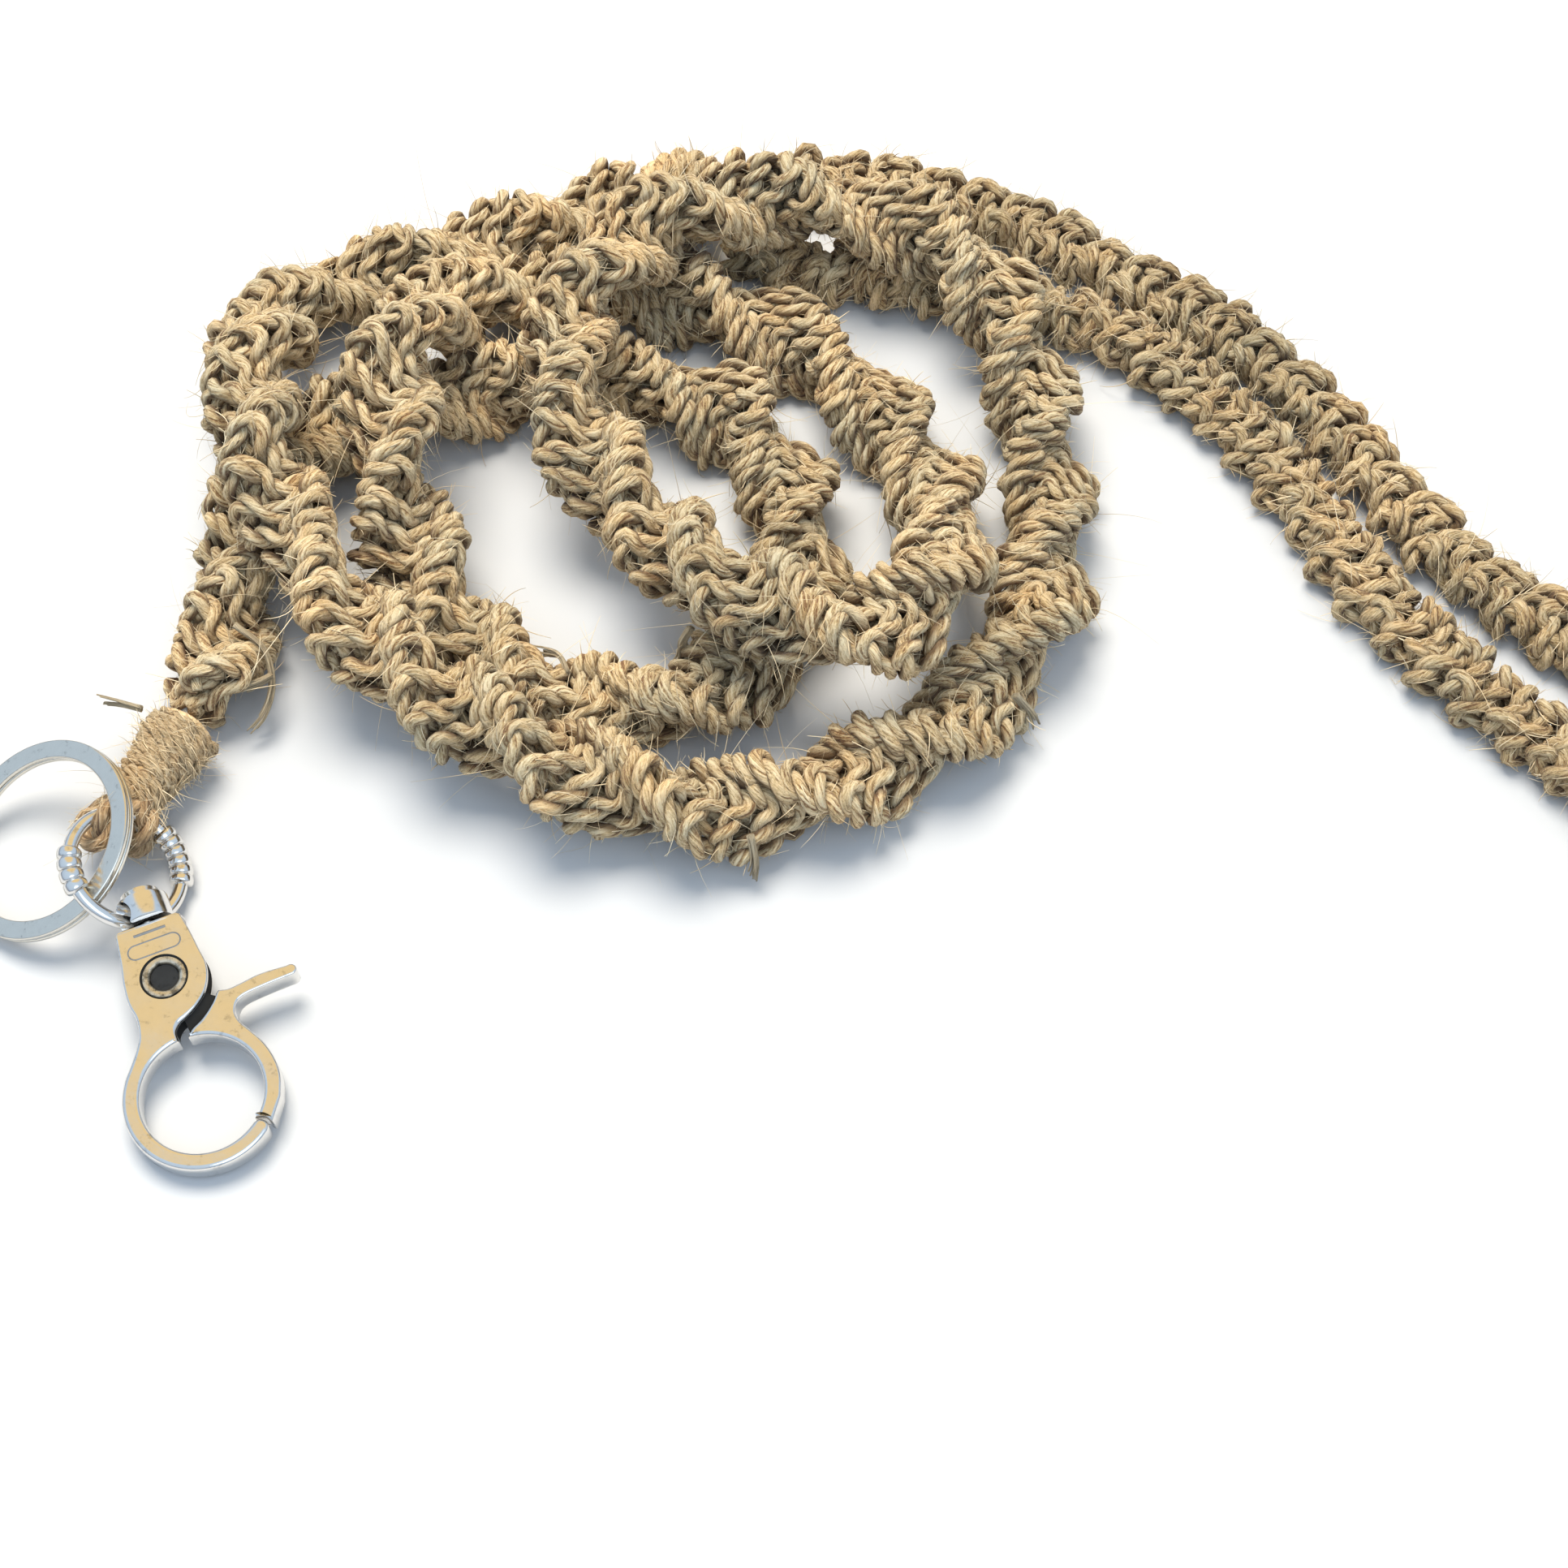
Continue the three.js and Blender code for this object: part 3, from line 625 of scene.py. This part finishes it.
def make_neck(material, hairs):
    """The flat stretch of square knots, which lies on the table and comes back to the fork."""
    rng = np.random.default_rng(SEED + 10)
    route = resample(spline([(x, y, NECK_HEIGHT + 0.0002) for x, y in NECK_ROUTE]), ROUTE_STEP)
    tangent = unit(np.gradient(route, axis=0))
    across = unit(np.cross(tangent, UP))
    sides = (tangent, across, np.broadcast_to(UP, route.shape))
    along = lengths(route)
    knots = [-1 if k % 2 else 1 for k in range(int(along[-1] / NECK_PITCH))]
    turn = slow_noise(along, 0.02, 0.2, rng)
    tubes = Tubes()
    sinnet(tubes, route, sides, NECK_TWINE, NECK_PITCH, knots, NECK_SHAPE, turn, NECK_CORE, rng)
    piece = ride_strap(tubes.build("neck_sinnet_cord", material, route))
    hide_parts("neck_sinnet")
    fluff = ride_strap(stray_fibres("neck_sinnet_fibres", tubes.anchors, NECK_HAIRS, hairs, SEED + 11))
    [tuple(p) for p in resample(route, 0.002)]


def make_fork_knot(material, hairs):
    """A gathering knot: turns of twine wound round the place where the cords divide."""
    rng = np.random.default_rng(SEED + 20)
    tubes = Tubes()
    turns, width = 5, 0.0027
    t = np.linspace(0, 1, 40 * turns)
    angle = t * turns * TURN
    x = (t - 0.5) * 2 * (KNOT_SIZE[0] * MM - width * 0.4)
    swell = np.sqrt(np.maximum(0.12, 1 - (x / (KNOT_SIZE[0] * MM)) ** 2))
    y = (KNOT_SIZE[1] * MM - width / 2) * swell * np.cos(angle)
    z = (KNOT_SIZE[2] * MM - width / 2) * swell * np.sin(angle)
    middle = np.array(KNOT_AT)
    add_twine(tubes, np.stack([x, y, z], 1) + middle, width, width * 3, rng)
    for lift in (-0.0018, 0.0, 0.0018):
        line = np.stack([x * 0.9, np.full_like(x, lift * 1.4), np.full_like(x, lift)], 1) + middle
        add_twine(tubes, line[::4], 0.0045, 0.012, rng, keep=False)
    piece = ride_strap(tubes.build("fork_knot_twine", material))
    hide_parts("fork_knot")
    ride_strap(stray_fibres("fork_knot_fibres", tubes.anchors, KNOT_HAIRS, hairs, SEED + 21))


def collar_frame():
    axis = unit(COLLAR_TO - COLLAR_FROM)
    side = unit(np.cross(axis, UP))
    return axis, side, np.cross(side, axis)


def make_whipping(material, hairs):
    """Thin twine wound round the cord's end, over a plain core."""
    rng = np.random.default_rng(SEED + 30)
    axis, side, up = collar_frame()
    turns, thick, least, growth = 13, 1.35, 2.7, 1.5
    t = np.linspace(0, 1, 60 * turns)
    angle = t * turns * TURN
    pitch = (WRAP_LENGTH - thick) / turns
    uneven = slow_noise(t * 0.1 + 1e-9, 0.004, 0.13, rng)
    place = WRAP_FROM + thick / 2 + t * turns * pitch + 0.12 * np.sin(angle - 0.6) + uneven
    place = np.clip(place, WRAP_FROM + 0.3, WRAP_FROM + WRAP_LENGTH + 0.8)
    loose = least + growth * t + slow_noise(t * 0.1 + 1e-9, 0.004, 0.14, rng)
    line = COLLAR_FROM + place[:, None] * axis + (loose * np.cos(angle))[:, None] * side \
        + (loose * 0.95 * np.sin(angle))[:, None] * up
    tubes = Tubes()
    add_twine(tubes, line * MM, thick * MM, 0.0038, rng, step=0.0004)
    core = COLLAR_FROM + np.linspace(WRAP_FROM + 0.3, WRAP_FROM + WRAP_LENGTH - 0.3, 12)[:, None] * axis
    tubes.add(core * MM, np.linspace(2.3, 3.7, len(core)) * MM, 20)
    piece = ride_strap(tubes.build("whipping_twine", material))
    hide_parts("whipping")
    ride_strap(stray_fibres("whipping_fibres", tubes.anchors, COLLAR_HAIRS, hairs, SEED + 31))


def bail_axes():
    turn = BAIL_TURN.to_matrix()
    return (np.array(turn.col[k]) for k in range(3))


def make_cord_eye(material, hairs):
    """Cords folded over the bail: each comes up from the whipping, goes round the wire and back."""
    rng = np.random.default_rng(SEED + 40)
    along, across, _ = bail_axes()
    tangent = math.cos(EYE_LOOP_ANGLE) * along - math.sin(EYE_LOOP_ANGLE) * across
    axis, _, _ = collar_frame()
    down = unit(np.cross(tangent, axis))
    back = np.cross(down, tangent)
    spacing, half_twine = 2.7, 1.45
    tubes = Tubes()
    for t in (-spacing, 0.0, spacing):
        bow = WIRE_RING - math.sqrt(WIRE_RING**2 - t**2)
        radius = WIRE_RADIUS + half_twine + bow
        middle = EYE_LOOP_AT + tangent * t
        fold = [middle + radius * (math.cos(a) * back + math.sin(a) * down)
                for a in np.radians(np.arange(-100, 101, 20) + 180)]
        ends = []
        for sign in (1, -1):
            foot = COLLAR_FROM + axis * 6.0 + down * sign * 1.0 + unit(np.cross(axis, down)) * t * 0.35
            near = COLLAR_FROM + axis * 3.2 + down * sign * 1.6 + tangent * t * 0.5
            ends.append([foot, near])
        ends.sort(key=lambda end: math.dist(fold[0], end[1]))
        path = [*ends[0], *fold, *ends[1][::-1]]
        add_twine(tubes, spline(np.array(path) * MM, 8), 0.0027, 0.0085, rng, step=0.0004)
    stem = COLLAR_FROM + np.linspace(5.0, 15.9, 12)[:, None] * axis
    tubes.add(stem * MM, 2.6 * MM, 16)
    piece = ride_strap(tubes.build("cord_eye_twine", material))
    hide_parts("cord_eye")
    ride_strap(stray_fibres("cord_eye_fibres", tubes.anchors, EYE_HAIRS, hairs, SEED + 41))


# ---- metal shapes ----
def arc(x, y, radius, start, end, steps):
    """Points round a centre, between two angles in degrees."""
    return [(x + radius * math.cos(a), y + radius * math.sin(a))
            for a in np.radians(np.linspace(start, end, steps))]


def smooth(points, per=5):
    line = spline([(x, y, 0) for x, y in points], per)
    return [(p[0], p[1]) for p in line]


def inset(outline, distance):
    """A closed outline moved inwards, corner by corner."""
    p = np.array(outline)
    before, after = unit(p - np.roll(p, 1, 0)), unit(np.roll(p, -1, 0) - p)
    normals = [np.stack([-e[:, 1], e[:, 0]], 1) for e in (before, after)]
    middle = unit(normals[0] + normals[1])
    stretch = np.maximum((middle * normals[1]).sum(1), 0.5)
    return p + middle * (distance / stretch)[:, None]


def cast_edge(x, y, widest=0.5):
    """Edge radius of the casting: wide round the hook's eye, and tight elsewhere."""
    tight, reach, fade = 0.26, 10.5, 1.5
    near = min(1.0, max(0.0, (reach - math.hypot(x, y)) / fade))
    return tight + (widest - tight) * near


def add_painted_shade(piece, amount):
    """Painted shade on a piece: amount gives its strength for a point of the piece, from 0 to 1."""
    painted_shade = piece.data.attributes.new("painted_shade", "FLOAT", "POINT")
    for i, vertex in enumerate(piece.data.vertices):
        painted_shade.data[i].value = amount(vertex.co)
    return piece


def thin_out(outline):
    """An outline without its doubled points."""
    least = 0.05
    kept = [outline[0]]
    for p in outline[1:]:
        if math.dist(p, kept[-1]) > least:
            kept.append(p)
    if math.dist(kept[0], kept[-1]) < least:
        kept.pop()
    return kept


def object_from(name, points, faces):
    mesh = bpy.data.meshes.new(name)
    mesh.from_pydata([tuple(p) for p in points], [], faces)
    mesh.update()
    piece = bpy.data.objects.new(name, mesh)
    bpy.context.scene.collection.objects.link(piece)
    return piece


def rounded_plate(name, outline, thick, bevel, steps=4):
    """A flat shape with rounded edges, centred on z = 0; bevel is a radius, or gives one for x and y."""
    outline = thin_out(outline)
    if callable(bevel):
        bevel = np.array([bevel(x, y) for x, y in outline])
    else:
        bevel = np.full(len(outline), bevel)
    turns = [math.pi / 2 * (1 - k / steps) for k in range(steps + 1)]
    rings = [(bevel * (1 - math.cos(a)), bevel * (1 - math.sin(a)) - thick / 2) for a in turns]
    rings += [(i, -z) for i, z in reversed(rings)]
    points, faces, n = [], [], len(outline)
    for shift, level in rings:
        points += [(x, y, z) for (x, y), z in zip(inset(outline, shift), level)]
    for r in range(len(rings) - 1):
        for i in range(n):
            j = (i + 1) % n
            faces.append((r * n + i, r * n + j, (r + 1) * n + j, (r + 1) * n + i))
    faces.append(tuple(reversed(range(n))))
    faces.append(tuple((len(rings) - 1) * n + i for i in range(n)))
    return object_from(name, points, faces)


def lathe(name, profile, sides):
    """A profile of (radius, height) turned round +Y; it starts and ends on the axis or closes on itself."""
    points, faces, rows = [], [], []
    for radius, height in profile:
        if radius < 1e-6:
            rows.append([len(points)] * sides)
            points.append((0, height, 0))
        else:
            rows.append(list(range(len(points), len(points) + sides)))
            turns = [TURN * i / sides for i in range(sides)]
            points += [(radius * math.sin(a), height, radius * math.cos(a)) for a in turns]
    for low, high in zip(rows, rows[1:]):
        for i in range(sides):
            j = (i + 1) % sides
            face = list(dict.fromkeys((low[i], low[j], high[j], high[i])))
            if len(face) > 2:
                faces.append(tuple(face))
    piece = object_from(name, points, faces)
    tidy(piece)
    return piece


def tidy(piece):
    """Merges doubled points and makes every face look outwards."""
    edit = bmesh.new()
    edit.from_mesh(piece.data)
    bmesh.ops.remove_doubles(edit, verts=edit.verts, dist=1e-5)
    bmesh.ops.recalc_face_normals(edit, faces=edit.faces)
    edit.to_mesh(piece.data)
    edit.free()


def cut(piece, tool, how="DIFFERENCE"):
    """Cuts or joins one solid with another, and drops the tool."""
    modifier = piece.modifiers.new("cut", "BOOLEAN")
    modifier.operation = how
    modifier.solver = "EXACT"
    modifier.object = tool
    bpy.context.view_layer.update()
    done = bpy.data.meshes.new_from_object(piece.evaluated_get(bpy.context.evaluated_depsgraph_get()))
    piece.modifiers.clear()
    piece.data = done
    bpy.data.objects.remove(tool)
    return piece


def join(piece, *others):
    """Puts other solids' faces into one piece."""
    edit = bmesh.new()
    edit.from_mesh(piece.data)
    for other in others:
        edit.from_mesh(other.data)
        bpy.data.objects.remove(other)
    edit.to_mesh(piece.data)
    edit.free()
    return piece


def place(piece, matrix, material, body, node, slot, plated=True):
    nearly_level = 0.995
    level = [p.index for p in piece.data.polygons if plated and abs(p.normal.z) > nearly_level]
    piece.data.transform(matrix @ Matrix.Scale(MM, 4))
    piece.data.materials.clear()
    piece.data.materials.append(material)
    piece.data.shade_smooth()
    piece.data.set_sharp_from_angle(angle=math.radians(38))
    for i in level:
        piece.data.polygons[i].use_smooth = False
    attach(piece, body)
    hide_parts(node)
    return piece


def disc_tool(y, radius, thick):
    """A disc that lies flat, with its middle at a height on the clasp."""
    half = thick / 2
    tool = lathe("tool", [(0, -half), (radius, -half), (radius, half), (0, half)], 64)
    tool.data.transform(Matrix.Translation((0, y, 0)) @ Matrix.Rotation(math.pi / 2, 4, "X"))
    return tool


def flat_tool(outline, thick):
    """A flat solid of one thickness, centred on z = 0."""
    n = len(outline)
    points = [(x, y, z) for z in (-thick / 2, thick / 2) for x, y in outline]
    faces = [(i, (i + 1) % n, n + (i + 1) % n, n + i) for i in range(n)]
    tool = object_from("tool", points, faces + [tuple(reversed(range(n))), tuple(range(n, 2 * n))])
    tidy(tool)
    return tool


def flared_hole(half, clearance):
    """A hole that opens out at both ends, to clear the curve of the wire ring."""
    profile = [(0, -half)]
    for t in np.linspace(-half, half, 15):
        profile.append((WIRE_RADIUS + clearance + WIRE_RING - math.sqrt(WIRE_RING**2 - t**2), t))
    return lathe("tool", profile + [(0, half)], 40)


def clasp_matrix():
    return Matrix.Translation(CLASP_AT) @ CLASP_TURN.to_matrix().to_4x4()


def clasp_outline():
    """The plate, and the fixed part of the eye with its rounded tip."""
    left = smooth([(-3.9, BOSS_TOP - 0.2), (-4.27, 18.6), (-4.66, 16), (-4.75, 13.4), (-4.4, 11.3),
                   (-4.7, 9.2), (-5.4, 7.9), (-6.3, 6.6), (-6.95, 5.72)])
    right = smooth([(-0.67, 7.1), (-0.6, 8.3), (0.2, 9.15), (0.9, 9.46), (2.64, 10.55), (3.89, 11.8),
                    (4.7, 13.5), (4.95, 15.2), (4.7, 17.1), (4.41, 19.4), (3.9, BOSS_TOP - 0.2)])
    outline = [(3.6, BOSS_TOP), (-3.6, BOSS_TOP)] + left
    outline += arc(0, 0, EYE_OUTER, 141, 360 + PARTING - 3, 90)
    outline += arc(TIP_X, TIP_Y, 1.0, PARTING + 360 - 12, PARTING + 360 + 192, 14)
    return outline + arc(0, 0, EYE_INNER, 360 + PARTING - 3, 95.5, 100) + right


def add_boss(body):
    """The round boss at the top, flush with the front face, and the stepped bore that the stud turns in."""
    low, edge, radius = 21.0, 0.3, 4.1
    profile = [(0, low), (3.8, low), (radius, low + edge), (radius, 22.1), (3.8, BOSS_TOP), (0, BOSS_TOP)]
    boss = lathe("boss", profile, 64)
    cut(boss, object_box((0, 21.7, CLASP_THICK / 2 + 2.48), (12, 2.4, 5)))
    cut(body, boss, "UNION")
    wide, narrow, step, past = 1.42, 1.02, 20.4, 23.4
    profile = [(0, RIVET_Y), (wide, RIVET_Y), (wide, step), (narrow, step), (narrow, past), (0, past)]
    cut(body, lathe("tool", profile, 32))


def cut_rivet_place(body):
    """The slot for the lever's root, the rivet's hole and the recesses for its two heads."""
    cut(body, disc_tool(RIVET_Y, 4.25, CHEEK_GAP))
    ring_slot = arc(0, RIVET_Y, ROOT_REACH, -97, 4, 30) + arc(0, RIVET_Y, 1.0, 4, -97, 8)
    cut(body, flat_tool(ring_slot, CHEEK_GAP))
    cut(body, disc_tool(RIVET_Y, 2.15, CLASP_THICK + 2))
    for face in (-1, 1):
        recess = disc_tool(RIVET_Y, 2.8, 1.0)
        recess.data.transform(Matrix.Translation((0, 0, face * (RECESS_FLOOR + 0.5))))
        cut(body, recess)


def add_face_marks(body):
    """An empty oval frame and a bar, raised on the front face."""
    half, radius, middle, front = 2.2, 0.9, 19.25, CLASP_THICK / 2
    oval = [(half * s + radius * math.cos(a), middle + radius * math.sin(a), front - 0.02)
            for s, lo in ((1, -90), (-1, 90)) for a in np.radians(np.linspace(lo, lo + 180, 12))]
    bar = [(x, 21.25, front - 0.03) for x in np.linspace(-1.9, 1.9, 12)]
    join(body, raised_line("frame", oval, 0.1, True), raised_line("bar", bar, 0.18, False))


def make_clasp_body():
    body = rounded_plate("clasp_body_metal", clasp_outline(), CLASP_THICK, cast_edge)
    add_boss(body)
    cut_rivet_place(body)
    add_face_marks(body)

    # painted shade: the raised frame and bar on the front face are darkened, and the faces round the rivet
    # deeper than the front and back (the slot between the cheeks, the rivet's hole and the recess floors)
    # are dark
    def amount(co):
        if co.z > CLASP_THICK / 2 + 0.01:
            return 0.45
        return 0.8 if abs(co.z) < RECESS_FLOOR + 0.05 and math.hypot(co.x, co.y - RIVET_Y) < 7.6 else 0.0
    return add_painted_shade(body, amount)


def object_box(middle, size):
    corners = [(x, y, z) for x in (-1, 1) for y in (-1, 1) for z in (-1, 1)]
    box = [tuple(m + c * length / 2 for m, c, length in zip(middle, corner, size)) for corner in corners]
    faces = [(0, 1, 3, 2), (4, 6, 7, 5), (0, 4, 5, 1), (2, 3, 7, 6), (0, 2, 6, 4), (1, 5, 7, 3)]
    piece = object_from("tool", box, faces)
    tidy(piece)
    return piece


def raised_line(name, path, radius, closed):
    """A thin raised bead on a face, along a path."""
    line = np.array(path + [path[0]] if closed else path, float)
    tubes = Tubes()
    tubes.add(line, radius, 8)
    return tubes.build(name)


def make_lever():
    """The gate of the eye and its thumb tab, with a thinner root that turns on the rivet."""
    gate_low = math.radians(PARTING + 8.2)
    outer = [(EYE_OUTER * math.cos(gate_low), EYE_OUTER * math.sin(gate_low))]
    outer += smooth([(8.2, -3.7), (8.9, -1.3), (8.9, 0.8), (8.3, 3.2), (7.2, 5.4), (6.45, 6.8), (6.3, 8.0),
                     (6.8, 8.96), (7.6, 9.45), (10.55, 9.75), (13.4, 9.85)], 6)
    outer += arc(13.75, 10.55, 0.7, -80, 85, 9)
    outer += smooth([(13.4, 11.22), (10.2, 11.4), (7.7, 11.1), (6.4, 11.0), (5.3, 11.25)], 5)
    outer += smooth([(5.0, 11.0), (4.21, 9.95), (2.56, 8.64), (1.2, 7.9), (0.66, 7.4)], 5)
    inner = arc(0, 0, EYE_INNER, 86, PARTING + 9.5, 70)
    end = arc(TIP_X, TIP_Y, 1.32, 150 + PARTING, PARTING + 70, 10)

    def edge(x, y):
        return cast_edge(x, y, 0.42)

    lever = rounded_plate("trigger_lever_metal", outer + inner + end, CLASP_THICK, edge)
    root = arc(0, RIVET_Y, 3.3, -41, 276, 60) + arc(0, RIVET_Y, ROOT_REACH, -84, -41, 14)
    eye = rounded_plate("root", root, 1.3, 0.1, 2)
    cut(eye, disc_tool(RIVET_Y, 2.25, CLASP_THICK + 2))
    join(lever, eye)
    # painted shade on the thin root, which turns inside the slot between the body's cheeks
    return add_painted_shade(lever, lambda co: 0.85 * (abs(co.z) < 0.7))


def make_rivet():
    """A semi-tubular rivet: open and flared in front, plain and blind at the back, with painted shade
    inside.
    """
    low, top, floor = RIVET_LOW, RIVET_TOP, -0.5
    back = [(0, -top), (2.3, -top), (2.5, -top + 0.08), (2.6, -low - 0.1), (2.5, -low), (2.0, -low)]
    front = [(2.0, low), (2.5, low), (2.6, low + 0.1), (2.5, top - 0.04), (2.2, top), (1.9, top - 0.05)]
    hole = [(1.66, top - 0.2), (1.56, top - 0.5), (1.55, top - 0.6), (1.55, -0.4), (1.5, floor), (0, floor)]
    rivet = lathe("pivot_rivet_metal", back + front + hole, 64)
    rivet.data.transform(Matrix.Translation((0, RIVET_Y, 0)) @ Matrix.Rotation(math.pi / 2, 4, "X"))

    # painted shade: near-black down the hole, half as dark at its mouth, dark on the shank between the
    # heads, and a slight even darkening over the rest
    def amount(co):
        radius = math.hypot(co.x, co.y - RIVET_Y)
        if radius < 1.6:
            return 1.0 if -0.55 < co.z < top - 0.3 else 0.5
        return 0.8 if abs(co.z) < low + 0.15 else 0.08
    return add_painted_shade(rivet, amount)


def make_stud():
    """The swivel: a stem whose foot is in the body's bore, and a barrel drilled across for the wire."""
    stem = [(0, 19.5), (1.2, 19.5), (1.2, 20.1), (0.8, 20.1), (0.8, 22.8)]
    barrel = [(2.9, 22.8), (3.05, 22.85), (3.1, 23.0), (3.1, 25.75), (3.05, 25.92), (2.9, 26.0)]
    cap = [(2.35, 26.02), (2.3, 26.1), (2.3, 26.8), (2.25, 26.95), (2.1, 27.0), (0, 27.0)]
    stud = lathe("swivel_stud_metal", stem + barrel + cap, 72)
    tool = flared_hole(3.9, 0.2)
    tool.data.transform(Matrix.Translation((0, STUD_HOLE_Y, 0)) @ Matrix.Rotation(-math.pi / 2, 4, "Z"))
    cut(stud, tool)
    stud.data.transform(Matrix.Rotation(STUD_ROLL, 4, "Y"))
    return stud


def make_bail():
    """The wire ring, with a row of discs turned into it on each side."""
    around, sides = 720, 20
    points, faces = [], []
    for i in range(around):
        angle = 360 * i / around - 180
        radius = WIRE_RADIUS
        for start, end, count in BEAD_ROWS:
            if start <= angle <= end:
                at = (angle - start) / (end - start) * count
                near = abs(at % 1 * 2 - 1)
                edge = BEAD_NECK if 0.5 < at < count - 0.5 else WIRE_RADIUS
                radius = edge + (BEAD_RADIUS - edge) * math.sqrt(1 - near**3)
        a = math.radians(angle)
        for j in range(sides):
            b = TURN * j / sides
            out = WIRE_RING + radius * math.cos(b)
            points.append((out * math.sin(a), out * math.cos(a), radius * math.sin(b)))
            k, m = (i + 1) % around, (j + 1) % sides
            faces.append((i * sides + j, k * sides + j, k * sides + m, i * sides + m))
    ring = object_from("bail_ring_metal", points, faces)
    tidy(ring)
    return ring


def make_split_ring():
    """Two flat turns of one strip, with the step between its ends."""
    wide, thick, corner = KEY_RING_OUTER - KEY_RING_INNER, KEY_RING_STRIP - 0.02, 0.24
    middle, rise = (KEY_RING_OUTER + KEY_RING_INNER) / 2, KEY_RING_STRIP + 0.1
    around, first, swept, step_from, step_over = 420, 4, 712, 340, 40
    section = []
    for sx, sy, start in ((1, 1, 0), (-1, 1, 90), (-1, -1, 180), (1, -1, 270)):
        section += arc(sx * (wide / 2 - corner), sy * (thick / 2 - corner), corner, start, start + 90, 5)
    points, faces, n = [], [], len(section)
    for i in range(around + 1):
        angle = first + swept * i / around
        lift = min(1, max(0, (angle - step_from) / step_over)) - 0.5
        a = math.radians(190 - angle)
        for x, y in section:
            points.append(((middle + x) * math.cos(a), (middle + x) * math.sin(a), y + lift * rise))
        if i:
            low, high = (i - 1) * n, i * n
            faces += [(low + j, low + (j + 1) % n, high + (j + 1) % n, high + j) for j in range(n)]
    faces += [tuple(range(n)), tuple(around * n + j for j in reversed(range(n)))]
    ring = object_from("split_ring_metal", points, faces)
    tidy(ring)
    return ring


def make_spring():
    """The bent strip in the slot that pushes the lever closed."""
    outline = arc(0, RIVET_Y, 3.95, 40, 258, 50) + arc(0, RIVET_Y, 3.55, 258, 40, 50)
    return rounded_plate("lever_spring_metal", outline, 1.2, 0.08, 2)


def make_hardware():
    nickel = metal_material("nickel_plate", (0.78, 0.76, 0.73), 0.10, 0.24, 0.25)
    steel = metal_material("polished_steel", (0.74, 0.70, 0.62), 0.10, 0.26, 0.35)
    worn = metal_material("worn_rivet", (0.80, 0.72, 0.58), 0.26, 0.5, 0.7, dirt=0.75, worn=0.40)
    dull = metal_material("spring_steel", (0.40, 0.41, 0.43), 0.30, 0.45, 0.4)
    hook = clasp_matrix()
    bail = Matrix.Translation(BAIL_AT) @ BAIL_TURN.to_matrix().to_4x4()
    key = Matrix.Translation(KEY_RING_AT) @ Matrix.Rotation(KEY_RING_TURN, 4, "Z")
    key = key @ Matrix.Rotation(KEY_RING_TILT, 4, "Y")
    place(make_clasp_body(), hook, nickel, "clasp", "clasp_body", "nickel")
    place(make_lever(), hook, nickel, "lever", "trigger_lever", "nickel")
    place(make_rivet(), hook, worn, "clasp", "pivot_rivet", "steel")
    place(make_spring(), hook, dull, "clasp", "lever_spring", "spring_steel")
    place(make_stud(), hook, nickel, "head", "swivel_stud", "nickel", plated=False)
    place(make_bail(), bail, nickel, "bail", "bail_ring", "nickel", plated=False)
    place(make_split_ring(), key, steel, "key_ring", "split_ring", "steel")


# ---- the scene ----
make_camera()
make_world()
make_stage()
looks = {name: jute_material(name, *tones) for name, tones in JUTES.items()}
make_spiral(looks["jute_twine"], looks["jute_hair"])
make_neck(looks["jute_neck_shaded"], looks["jute_hair"])
make_fork_knot(looks["jute_twine"], looks["jute_hair"])
make_whipping(looks["jute_whipping"], looks["jute_hair"])
make_cord_eye(looks["jute_eye"], looks["jute_hair"])
make_hardware()
